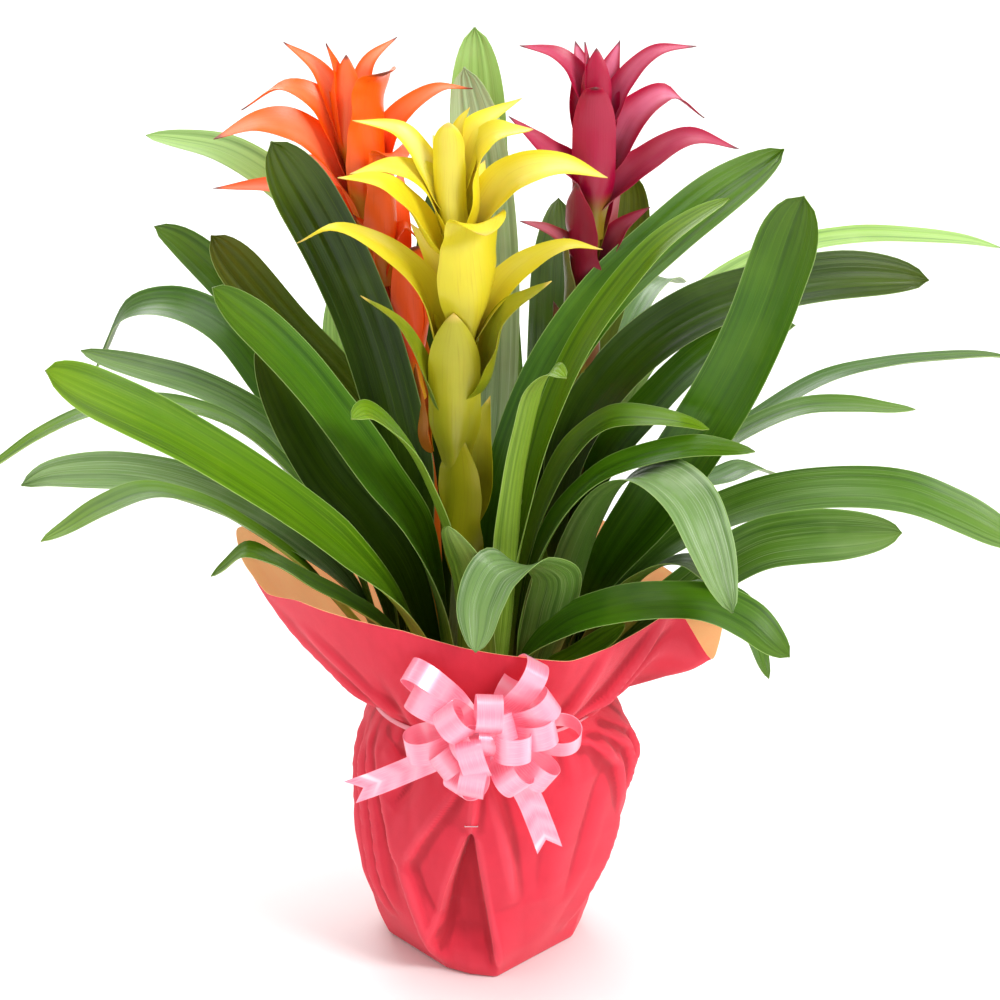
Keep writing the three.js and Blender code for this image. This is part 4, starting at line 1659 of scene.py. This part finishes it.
# The underside's corners, in X and Y. The collar's edge: its azimuth, reach and height. The body's radii on
# its right, left and front at some heights. All in millimetres and degrees.
BASE = (
    (-72, -8), (-30, -62), (-13, -72), (6, -76), (27, -52), (61, -14), (68, 13), (60, 45), (30, 68),
    (-15, 72), (-55, 50), (-74, 20),
)
EDGE = (
    (2, 168, 241), (30, 140, 262), (60, 150, 278), (90, 124, 276), (120, 160, 300), (150, 146, 284),
    (175, 172, 310), (181, 178, 314), (188, 174, 298), (196, 160, 281), (210, 150, 288), (240, 116, 276),
    (256, 106, 267), (270, 101, 260), (285, 104, 256), (300, 112, 252), (316, 116, 256), (330, 124, 262),
    (341, 136, 271), (346, 140, 262), (352, 160, 218),
)
BODY_HEIGHTS = (0, 20, 37, 60, 74, 100, 125, 150, 165, 177, 183, 189)
BODY_RIGHT = (60, 66, 73, 82, 88, 96, 99, 102, 99, 95, 89, 80.4)
BODY_LEFT = (60, 71, 79, 86, 88, 90, 90, 90, 89, 87, 84, 80.4)
BODY_FRONT = (60, 70, 76, 84, 87, 91, 93, 92, 90, 86, 82.5, 80.4)
# The pleat's borders: the azimuth at some heights. Its columns: the even azimuths that start to be drawn to
# it, become its left border, become its right border, and stop being drawn.
PLEAT_LEFT = ((0, 243), (26, 242), (77, 252), (121, 262.0), (140, 262.4))
PLEAT_RIGHT = ((0, 275), (26, 272.5), (68, 268.5), (121, 264.0), (140, 263.6))
PLEAT_COLUMNS = (200.0, 250.0, 270.0, 320.0)
CREASES = (
    Crease(((184, 178), (191, 104), (192, 30)), 9.0, 15, 5, 1.1),
    Crease(((193, 180), (202, 104), (205, 26)), 9.0, 13, 5, 1.1),
    Crease(((202, 182), (212, 104), (214, 36)), 8.0, 12, 5, 1.1),
    Crease(((208, 186), (220, 121), (232, 66), (244, 2)), 7.0, 26, 5, 1.1),
    Crease(((240, 176), (232, 150), (224, 128)), -5.0, 14, 14, 1.8),
    Crease(((262, 168), (255, 150), (241, 115), (230, 84)), 9.5, 6, 26, 1.1),
    Crease(((234, 98), (240, 70), (250, 40)), -4.0, 15, 12, 1.6),
    Crease(((230, 88), (238, 50), (247, 4)), 5.0, 6, 20, 1.2),
    Crease(((262, 124), (252, 77), (242, 16)), 5.5, 3, 28, 1.2),
    Crease(((264, 124), (268.5, 68), (275, 4)), 5.0, 28, 3, 1.2),
    Crease(((266, 174), (265, 150), (263, 122)), 6.0, 5, 12, 1.2),
    Crease(((268, 176), (276, 122), (282, 62)), 9.0, 8, 34, 1.1),
    Crease(((288, 150), (294, 110), (294, 60)), -3.5, 20, 26, 1.8),
    Crease(((328, 164), (322, 140), (316, 106), (312, 50)), -5.0, 16, 24, 1.6),
    Crease(((302, 184), (320, 176), (332, 154), (343, 108)), 9.0, 12, 5, 1.1),
    Crease(((311, 187), (328, 181), (341, 162), (350, 112)), 9.5, 11, 5, 1.1),
    Crease(((320, 189), (337, 185), (350, 168), (357, 118)), 9.0, 11, 5, 1.1),
    Crease(((345, 116), (340, 84), (330, 14)), 5.5, 8, 22, 1.2),
    Crease(((360, 178), (366, 130), (368, 40)), 5.0, 8, 20, 1.2),
    Crease(((210, 184), (222, 172), (238, 164)), -5.0, 10, 9, 1.6),
    Crease(((20, 184), (24, 140), (20, 80), (11, 8)), 6.0, 20, 8, 1.2),
    Crease(((36, 182), (40, 140), (36, 80)), -4.5, 14, 14, 1.6),
    Crease(((52, 184), (48, 130), (46, 40)), 8.0, 8, 24, 1.2),
    Crease(((68, 180), (72, 120), (66, 8)), 7.0, 24, 6, 1.2),
    Crease(((90, 184), (98, 130), (94, 40)), 9.0, 8, 22, 1.2),
    Crease(((114, 184), (110, 110), (112, 8)), 7.0, 20, 8, 1.2),
    Crease(((138, 184), (132, 130), (138, 50)), 8.0, 8, 24, 1.2),
    Crease(((160, 182), (164, 110), (160, 8)), 7.0, 20, 6, 1.2),
    Crease(((300, 194), (309, 225), (317, 290)), 5.5, 7, 20, 1.2),
    Crease(((314, 194), (327, 222), (339, 290)), 10.0, 6, 18, 1.1),
    Crease(((326, 193), (338, 218), (350, 284)), 8.0, 6, 14, 1.1),
    Crease(((228, 194), (216, 220), (202, 270)), 5.5, 18, 7, 1.3),
    Crease(((208, 192), (199, 222), (191, 286)), 6.0, 16, 8, 1.3),
    Crease(((252, 192), (246, 214), (238, 250)), 3.5, 12, 12, 1.5),
    Crease(((284, 192), (290, 214), (296, 250)), 3.5, 12, 12, 1.5),
    Crease(((60, 194), (56, 230), (60, 288)), 8.0, 14, 24, 1.3),
    Crease(((90, 194), (88, 230), (84, 288)), -7.0, 20, 20, 1.8),
    Crease(((120, 194), (122, 230), (120, 288)), 8.0, 24, 14, 1.3),
    Crease(((150, 194), (146, 230), (148, 288)), -6.0, 18, 18, 1.8),
    Crease(((30, 194), (28, 230), (26, 288)), -6.0, 18, 18, 1.8),
)
CLOTH_SIDES = {
    "cloth_red": ClothFinish(srgb(226, 48, 70), srgb(212, 38, 60), srgb(250, 92, 108)),
    # The peach inside carries a painted glow.
    "cloth_peach": ClothFinish(srgb(255, 190, 134), srgb(250, 170, 112), srgb(255, 214, 160), 0.38),
}


# ---- tie, bow and staple ----


def turned_piece(name: str, outline: Sequence[tuple[float, float]], sides: int = 96) -> bpy.types.Object:
    """Turns an outline about Z.

    Args:
        name: The piece's name.
        outline: Radii and heights, in metres; it starts and ends on the axis, or comes back to its start.
        sides: How many steps go round.

    Returns:
        The closed piece.
    """
    piece = sheet_grid(name, len(outline) - 1, sides)
    radii, heights = np.array(outline, float).T

    def surface(share: Array, around: Array) -> Array:
        """Turns each point of the outline.

        Args:
            share: The shares along the outline.
            around: The shares of a turn.

        Returns:
            The place for each pair.
        """
        i = np.rint(share * (len(outline) - 1)).astype(int)
        angle = 2.0 * math.pi * around
        return np.stack([radii[i] * np.cos(angle), radii[i] * np.sin(angle), heights[i]], axis=1)

    spread(piece, surface)
    close_seams(piece)
    return piece


@dataclass(frozen=True)
class SatinFinish(Finish):
    """Satin ribbon, which shines along its folds, with painted highlights and painted shade in bands along
    its length.

    Attributes:
        colour: Its colour.
        bright: The colour of its painted highlights, in bands along it and on its threads.
        deep: The colour of its painted shade, in bands along it.
        glow: How brightly it glows by itself, a painted glow that stands in for light coming through it from
            behind.
    """

    colour: Colour = srgb(255, 160, 182)
    bright: Colour = srgb(255, 226, 236)
    deep: Colour = srgb(246, 124, 150)
    glow: float = 0.11

    def dress(self, shader: Shader) -> None:
        """Lays the threads by the ribbon's UV map, in metres, and paints bands of highlight and shade along
        it.

        Args:
            shader: The material's shader.
        """
        flat = shader.uv()
        threads = shader.noise(shader.scaled(flat, (60.0, 2600.0, 1.0)), 1.0, 2.0)
        # Painted shade and painted highlight: noise along the ribbon darkens and lightens its colour in
        # bands.
        fade = shader.noise(shader.scaled(flat, (62.0, 10.0, 1.0)), 1.0, 0.0)
        colour = shader.mix(shader.ease(fade, 0.34, 0.56), self.deep, self.colour)
        colour = shader.mix(shader.ease(fade, 0.54, 0.64), colour, self.bright)
        shader.set(
            # The lighter threads wear the painted highlight colour, partly a painted sheen.
            base_color=shader.mix(shader.ease(threads, 0.4, 0.8, 0.0, 0.3), colour, self.bright),
            roughness=0.27,
            metallic=0.12,
            specular_ior_level=0.75,
            sheen_weight=0.3,
            sheen_roughness=0.35,
            sheen_tint=(1.0, 0.88, 0.94),
            subsurface_weight=0.1,
            subsurface_radius=(1.0, 0.5, 0.5),
            subsurface_scale=0.002,
            # Painted glow: the ribbon lights itself, standing in for light through it from behind.
            emission_color=self.colour,
            emission_strength=self.glow,
        )
        shader.bump(threads, 0.00006, 0.5)


@dataclass(frozen=True)
class Loop:
    """A loop of the bow, seen from the front.

    Attributes:
        end: Its far end from the bow's middle: to the right, up, and out to the viewer, in millimetres.
        turn: How far its opening turns to the viewer, in degrees.
        fat: About how wide it opens, in millimetres.
        root: Where it leaves the bow, as end.
    """

    end: Place
    turn: float = 0.0
    fat: float = 15.0
    root: Place = (0.0, 0.0, 0.0)


@dataclass(frozen=True)
class Bow:
    """The pull bow: loops and two tails of one satin ribbon.

    Attributes:
        middle: Its middle, in millimetres.
        width: The ribbon's width, in millimetres.
        thick: The ribbon's thickness, in millimetres.
        notch: How deep the tails' ends are notched, in millimetres.
    """

    middle: Place = (-2.0, -102.8, 204.0)
    width: float = 18.0
    thick: float = 0.35
    notch: float = 11.0

    def build(self) -> bpy.types.Object:
        """Models the bow as one piece.

        Returns:
            The bow.
        """
        pieces, total = [], 0.0
        for number, loop in enumerate(LOOPS, start=1):
            path, sides = self._loop_path(loop)
            pieces.append(self._strip(f"loop_{number}", path, sides, 0.0))
            total += path.length
        for number, tail in enumerate(TAILS, start=1):
            path, sides = self._tail_path(tail)
            pieces.append(self._strip(f"tail_{number}", path, sides, self.notch))
            total += path.length
        piece = join(pieces, "ribbon_bow")
        piece.data.materials.append(SatinFinish().material("satin_pink"))
        shade(piece, 60.0)
        return stand_in(piece, "satin_ribbon", "bow")

    def _place(self, offset: Sequence[float]) -> Array:
        """A point to the right of, above and in front of the bow's middle."""
        return np.array(self.middle) + (offset[0], -offset[2], offset[1])

    def _loop_path(self, loop: Loop) -> tuple[Line, Array]:
        """Finds the closed path of a loop.

        Args:
            loop: The loop.

        Returns:
            Its path, and the way across its ribbon.
        """
        root, end = self._place(loop.root), self._place(loop.end)
        along = unit(end - root)
        reach = float(np.linalg.norm(end - root))
        bulge = unit(TO_VIEWER - along * (TO_VIEWER @ along))
        bulge = turned(bulge, along, loop.turn)
        turn = np.linspace(0.0, 2.0 * math.pi, 37)
        out = ((1.0 - np.cos(turn)) / 2.0) ** 0.7
        swell = np.sin(turn) * np.sin(turn / 2.0) ** 0.7 * loop.fat * 0.72
        path = root + along * (out * reach)[:, None] + bulge * swell[:, None]
        return Line(path, fineness=6), np.cross(along, bulge)

    def _tail_path(self, tail: tuple[Place, ...]) -> tuple[Line, Array]:
        """The path of a tail, and the way across its ribbon."""
        points = np.array([self._place(point) for point in tail])
        return Line(points, fineness=12), unit(np.cross(points[-1] - points[0], TO_VIEWER))

    def _strip(self, name: str, path: Line, side: Array, notch: float) -> bpy.types.Object:
        """Lays a strip of ribbon along a path.

        Args:
            name: The strip's name.
            path: Its middle line, in millimetres.
            side: The way across it.
            notch: How deep its end is notched, in millimetres.

        Returns:
            The strip, as a thin closed piece.
        """
        piece = sheet_grid(name, 56, 8)

        def surface(share: Array, across: Array) -> Array:
            """The strip, drawn together at the bow's middle.

            Args:
                share: The shares along it.
                across: The shares across it.

            Returns:
                The place for each pair.
            """
            aside = 2.0 * across - 1.0
            length = path.length - notch * (1.0 - np.abs(aside)) if notch else path.length
            share = share * length / path.length
            near = np.minimum(share, 1.0 if notch else 1.0 - share)
            width = self.width * blend(0.62, 1.0, smooth(0.0, 0.2, near))
            direction = path.direction(share)
            across_way = unit(side - direction * np.sum(side * direction, axis=1, keepdims=True))
            return (path.at(share) + across_way * (aside * width / 2)[:, None]) * MM

        spread(piece, surface)
        layer = piece.data.uv_layers.active.data
        flat = np.empty(len(layer) * 2, np.float32)
        layer.foreach_get("uv", flat)
        flat = flat.reshape(-1, 2) * np.array([path.length * MM, self.width * MM], np.float32)
        layer.foreach_set("uv", flat.ravel())
        apply(piece, "SOLIDIFY", thickness=self.thick * MM, offset=0.0)
        return piece


LOOPS = (
    Loop((-52, 47, 4), 40, 15, (-4, 6, 0)),
    Loop((-50, 31, 14), 8, 22, (-2, 4, 4)),
    Loop((36, 52, 6), 12, 22, (4, 6, 2)),
    Loop((47, 28, 16), 10, 20, (6, 5, 6)),
    Loop((48, 8, 20), 4, 20, (6, 1, 8)),
    Loop((66, -3, 4), 38, 20, (12, 0, 2)),
    Loop((-27, 25, 36), -10, 21, (-2, 2, 10)),
    Loop((4, 34, 38), 6, 21, (0, 4, 12)),
    Loop((26, 2, 42), -8, 20, (4, 0, 12)),
    Loop((-10, -33, 36), 8, 25, (-2, -2, 12)),
    Loop((-54, -9, 12), -10, 22, (-6, 0, 4)),
    Loop((24, -32, 30), 10, 22, (6, -4, 8)),
    Loop((46, -34, 10), 10, 19, (12, -8, 4)),
    Loop((-16, -45, 8), 42, 24, (-4, -14, 4)),
    Loop((-32, -20, 24), 16, 21, (-4, -2, 8)),
    Loop((14, 14, 30), -30, 18, (2, 4, 10)),
    Loop((5, 8, 34), 20, 17, (-3, -8, 8)),
    Loop((-16, 2, 32), -30, 17, (0, -4, 10)),
    Loop((-6, -12, 42), 0, 26, (-10, 2, 10)),
    Loop((2, 8, 14), 90, 14, (0, -18, -20)),
    Loop((-16, 10, 6), 70, 15, (-6, -17, -20)),
    Loop((20, 4, 6), -70, 15, (8, -17, -20)),
)
TAILS = (
    ((-4, -6, 4), (-46, -24, 7), (-73, -37, 5), (-93, -47, 0)),
    ((8, -14, 6), (28, -42, 9), (38, -68, 6), (45, -92, -2)),
)


@dataclass(frozen=True)
class TieFinish(Finish):
    """The pale ribbon that holds the gathers.

    Attributes:
        colour: Its colour.
    """

    colour: Colour = srgb(240, 150, 164)

    def dress(self, shader: Shader) -> None:
        """Weaves the threads round the band.

        Args:
            shader: The material's shader.
        """
        threads = shader.noise(shader.scaled(shader.object_place(), (1.0, 1.0, 14.0)), 260.0, 2.0)
        deep = shader.mix(1.0, self.colour, (0.8, 0.6, 0.62), "MULTIPLY")
        colour = shader.mix(threads, deep, self.colour)
        shader.set(base_color=colour, roughness=0.45, sheen_weight=0.3)
        shader.bump(threads, 0.0001, 0.5)


@dataclass(frozen=True)
class Tie:
    """The narrow ribbon round the cloth's neck.

    Attributes:
        thick: Its thickness.
    """

    thick: float = 1.2 * MM

    def build(self) -> bpy.types.Object:
        """Models the tie as a thin band with soft edges.

        Returns:
            The tie.
        """
        low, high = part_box("tie")
        radius, across = high.x - self.thick / 2, self.thick / 2
        middle, half = (low.z + high.z) / 2, (high.z - low.z) / 2
        turn = np.linspace(0.0, 2.0 * math.pi, 25)
        outline = [(radius + across * math.cos(a), middle + half * math.sin(a)) for a in turn]
        piece = turned_piece("neck_tie", outline, 128)
        piece.data.materials.append(TieFinish().material("tie_ribbon"))
        shade(piece, 60.0)
        return stand_in(piece, "tie_strip", "tie")


@dataclass(frozen=True)
class WireFinish(Finish):
    """Plated wire.

    Attributes:
        colour: Its colour.
    """

    colour: Colour = (0.78, 0.78, 0.8)

    def dress(self, shader: Shader) -> None:
        """Draws fine lines along the wire.

        Args:
            shader: The material's shader.
        """
        drawn = shader.noise(shader.scaled(shader.object_place(), (200.0, 3000.0, 3000.0)), 1.0, 2.0)
        roughness = shader.ease(drawn, 0.3, 0.7, 0.22, 0.36)
        shader.set(base_color=self.colour, metallic=1.0, roughness=roughness)
        shader.bump(drawn, 0.00002, 0.4)


@dataclass(frozen=True)
class Staple:
    """The staple in the front of the cloth: a crown and two legs that go in.

    Attributes:
        wire: The wire's thickness.
        leg: How far the legs go in.
        bend: The radius of its corners.
    """

    wire: float = 0.7 * MM
    leg: float = 2.5 * MM
    bend: float = 0.5 * MM

    def build(self, cloth: bpy.types.Object) -> bpy.types.Object:
        """Models the staple as one bent wire that lies on the cloth.

        Args:
            cloth: The cloth.

        Returns:
            The staple.
        """
        low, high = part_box("staple")
        height = (low.z + high.z) / 2
        spots = [self._on_cloth(cloth, x, height) for x in np.linspace(low.x, high.x, 9)]
        front = min(spot[1] for spot in spots)
        left, right = (np.array([spot[0], front, spot[2]]) for spot in (spots[0], spots[-1]))
        way, inwards = unit(right - left), -TO_VIEWER
        points = [left + inwards * self.leg]
        for corner, start, end in ((left, inwards, way), (right, -way, inwards)):
            for turn in np.linspace(0.0, 1.0, 5):
                points.append(corner + self.bend * (start * (1 - turn) ** 2 + end * turn**2))
        points.append(right + inwards * self.leg)
        line = Line(np.array(points), fineness=6)
        piece = sheet_grid("staple_wire", 80, 12)

        def surface(share: Array, around: Array) -> Array:
            """A round wire that closes at both ends.

            Args:
                share: The shares along it.
                around: The shares of a turn.

            Returns:
                The place for each pair.
            """
            direction = line.direction(share)
            across = np.cross(direction, UP)
            angle = 2.0 * math.pi * around
            radius = self.wire / 2 * ((share > 0) & (share < 1))
            ring = unit(across) * np.cos(angle)[:, None] + UP * np.sin(angle)[:, None]
            return line.at(share) + ring * radius[:, None]

        spread(piece, surface)
        close_seams(piece)
        piece.data.materials.append(WireFinish().material("plated_wire"))
        shade(piece, 60.0)
        return stand_in(piece, "staple_wire", "staple")

    def _on_cloth(self, cloth: bpy.types.Object, across: float, height: float) -> Array:
        """The middle of a wire that touches the cloth's front at a place."""
        _, place, _, _ = cloth.ray_cast(Vector((across, -1.0, height)), Vector((0.0, 1.0, 0.0)))
        return np.array(place) + TO_VIEWER * self.wire * 0.6


# ---- pot and soil ----


@dataclass(frozen=True)
class PotFinish(Finish):
    """Moulded plastic, a little rough.

    Attributes:
        colour: Its colour.
        dull: The colour where it is worn.
    """

    colour: Colour = (0.035, 0.035, 0.037)
    dull: Colour = (0.09, 0.085, 0.08)

    def dress(self, shader: Shader) -> None:
        """Grains the plastic and rubs it dull in places.

        Args:
            shader: The material's shader.
        """
        grain = shader.noise(shader.object_place(), 1400.0, 3.0)
        worn = shader.noise(shader.object_place(), 30.0, 4.0)
        colour = shader.mix(shader.ease(worn, 0.4, 0.8), self.colour, self.dull)
        shader.set(base_color=colour, roughness=shader.ease(worn, 0.3, 0.7, 0.42, 0.6))
        shader.bump(grain, 0.00008, 0.4)


@dataclass(frozen=True)
class SoilFinish(Finish):
    """A dark crumbly peat mix with pale bits.

    Attributes:
        colour: The colour of its crumbs.
        deep: The colour between them.
        bit: The colour of the pale bits.
    """

    colour: Colour = srgb(62, 42, 28)
    deep: Colour = srgb(34, 22, 15)
    bit: Colour = srgb(150, 120, 86)

    def dress(self, shader: Shader) -> None:
        """Crumbles the peat and scatters pale bits in it.

        Args:
            shader: The material's shader.
        """
        crumbs = shader.noise(shader.object_place(), 420.0, 5.0)
        bits = shader.noise(shader.object_place(), 150.0, 2.0, 7.0)
        colour = shader.mix(shader.ease(crumbs, 0.35, 0.7), self.deep, self.colour)
        colour = shader.mix(shader.ease(bits, 0.68, 0.74), colour, self.bit)
        shader.set(base_color=colour, roughness=0.95, specular_ior_level=0.2)
        shader.bump(crumbs, 0.0012, 0.9)


@dataclass(frozen=True)
class Pot:
    """The grower's pot, with its rim and drain hole, and the soil in it.

    Attributes:
        wall: Its wall's thickness.
        rim: Its rim's height.
        rim_out: How far the rim stands out.
        drain: The drain hole's radius.
        base_radius: Its outer radius at its foot.
        top_radius: Its outer radius at its top, without the rim.
        gap: How near its wall the soil comes.
    """

    wall: float = 2.5 * MM
    rim: float = 14.0 * MM
    rim_out: float = 3.0 * MM
    drain: float = 7.0 * MM
    base_radius: float = 54.0 * MM
    top_radius: float = 74.0 * MM
    gap: float = 0.4 * MM

    def build(self) -> None:
        """Models the pot and its soil."""
        self._pot()
        self._soil()

    def radius(self, height: float, low: float, high: float) -> float:
        """The pot's outer radius at a height between its foot and its top."""
        return self.base_radius + (self.top_radius - self.base_radius) * (height - low) / (high - low)

    def _pot(self) -> None:
        """Turns the pot and rounds its edges."""
        low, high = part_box("pot")
        foot, top = low.z, high.z
        under = top - self.rim
        floor = foot + self.wall
        groove = foot + 1.2 * MM
        shoulder = self.radius(under, foot, top)
        outline = [
            (self.drain, foot), (self.base_radius * 0.8, foot), (self.base_radius * 0.82, groove),
            (self.base_radius * 0.9, groove), (self.base_radius * 0.92, foot), (self.base_radius, foot),
            (shoulder, under), (shoulder + self.rim_out, under), (self.top_radius + self.rim_out, top),
            (self.top_radius - self.wall, top), (self.radius(floor, foot, top) - self.wall, floor),
            (self.drain, floor), (self.drain, foot),
        ]
        piece = turned_piece("growing_pot", outline)
        apply(piece, "BEVEL", width=0.7 * MM, segments=3, limit_method="ANGLE", angle_limit=math.radians(35))
        piece.data.materials.append(PotFinish().material("pot_black"))
        shade(piece, 40.0)
        stand_in(piece, "pot_plastic", "pot")

    def _soil(self) -> None:
        """Turns the soil and makes its top lumpy."""
        low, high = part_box("soil")
        foot, top = low.z, high.z
        edge = high.x - self.gap
        base = self.base_radius - self.wall - self.gap
        rings = [(edge * share, top) for share in np.linspace(1.0, 0.0, 26)]
        sides = [(blend(base, edge, share), blend(foot, top, share)) for share in np.linspace(0.0, 1.0, 8)]
        piece = turned_piece("potting_mix", [(0.0, foot), *sides[:-1], *rings])

        def lumpy(places: Array) -> Array:
            """Sinks the top unevenly.

            Args:
                places: The soil's places.

            Returns:
                The sunk places.
            """
            out = places.copy()
            for i, place in enumerate(places):
                if place[2] > top - 0.1 * MM:
                    rough = noise.noise(Vector(place) * 90.0) + 0.6 * noise.noise(Vector(place) * 260.0)
                    out[i, 2] += (rough - 1.2) * 1.6 * MM
            return out

        shape(piece, lumpy)
        piece.data.materials.append(SoilFinish().material("peat_mix"))
        shade(piece, 50.0)
        stand_in(piece, "potting_soil", "soil")


# ---- the studio ----


@dataclass(frozen=True)
class Studio:
    """The floor, the lights and the camera.

    Attributes:
        target: What the camera looks at.
        distance: How far away the camera stands.
        looks_down: How far it looks down, in degrees.
        lens: Its focal length, in millimetres.
        sensor: Its sensor's width, in millimetres.
        air: How bright the air is all round.
    """

    target: Place = (0.0084, 0.0, 0.334)
    distance: float = 2.2
    looks_down: float = 19.5
    lens: float = 113.15
    sensor: float = 36.0
    air: float = 0.58

    def build(self) -> None:
        """Sets up the studio."""
        self._floor()
        self._camera()
        self._light("key", (2.1, -1.7, 2.1), (1.1, 1.1), 74.0)
        self._light("fill", (-2.2, -1.6, 1.7), (1.6, 1.6), 9.0)
        self._light("top", (-0.4, 0.2, 3.0), (1.8, 1.8), 42.0)
        self._light("back", (-0.6, 2.6, 1.6), (1.6, 1.2), 20.0)
        self._light("backdrop", (0.0, 5.2, 4.2), (9.0, 6.0), 260.0, (0.0, 5.2, 0.0))
        self._sky()

    def _floor(self) -> None:
        """Lays the floor, which runs out past everything that the camera sees."""
        deselect()
        below = (0.0, 0.0, -0.4 * MM)
        bpy.ops.mesh.primitive_circle_add(vertices=96, radius=14.0, fill_type="NGON", location=below)
        bpy.ops.object.transform_apply(location=True, rotation=False, scale=False)
        floor = made("studio_floor")
        shader = Shader("studio_paper")
        grain = shader.noise(shader.object_place(), 3.0, 4.0)
        paper = shader.ramp(grain, [(0.0, (0.93, 0.93, 0.93)), (1.0, (0.96, 0.96, 0.96))])
        shader.set(base_color=paper, roughness=0.7)
        floor.data.materials.append(shader.material)

    def _light(
        self, name: str, place: Place, size: tuple[float, float], power: float, towards: Place | None = None
    ) -> None:
        """Hangs one soft light.

        Args:
            name: The light's name.
            place: Where it hangs.
            size: Its width and height.
            power: Its power, in watts.
            towards: What it faces, if that isn't the plants.
        """
        lamp = bpy.data.lights.new(name, "AREA")
        lamp.shape = "RECTANGLE"
        lamp.size, lamp.size_y = size
        lamp.energy = power
        light = bpy.data.objects.new(name, lamp)
        light.location = place
        way = Vector(towards or self.target) - Vector(place)
        light.rotation_euler = way.to_track_quat("-Z", "Y").to_euler()
        bpy.context.scene.collection.objects.link(light)

    def _sky(self) -> None:
        """Lights everything evenly from all round."""
        world = bpy.data.worlds.new("studio_air")
        world.use_nodes = True
        background = world.node_tree.nodes["Background"]
        background.inputs["Color"].default_value = (1.0, 1.0, 1.0, 1.0)
        background.inputs["Strength"].default_value = self.air
        bpy.context.scene.world = world
        bpy.context.scene.view_settings.view_transform = "Standard"

    def _camera(self) -> None:
        """Stands the camera in front of the bow, looking down a little."""
        data = bpy.data.cameras.new("camera")
        data.lens = self.lens
        data.sensor_width = self.sensor
        data.clip_end = 60.0
        camera = bpy.data.objects.new("camera", data)
        angle = math.radians(self.looks_down)
        back = Vector((0.0, -math.cos(angle), math.sin(angle))) * self.distance
        camera.location = Vector(self.target) + back
        camera.rotation_euler = (-back).to_track_quat("-Z", "Y").to_euler()
        bpy.context.scene.collection.objects.link(camera)
        bpy.context.scene.camera = camera


def main() -> None:
    """Builds every piece in order."""
    logging.basicConfig(level=logging.INFO, format="%(message)s")
    Studio().build()
    Pot().build()
    cloth = Wrapping().build()
    Tie().build()
    Bow().build()
    Staple().build(cloth)
    for crown in CROWNS:
        crown.build()
    for spike in SPIKES:
        spike.build()


if __name__ == "__main__":
    main()
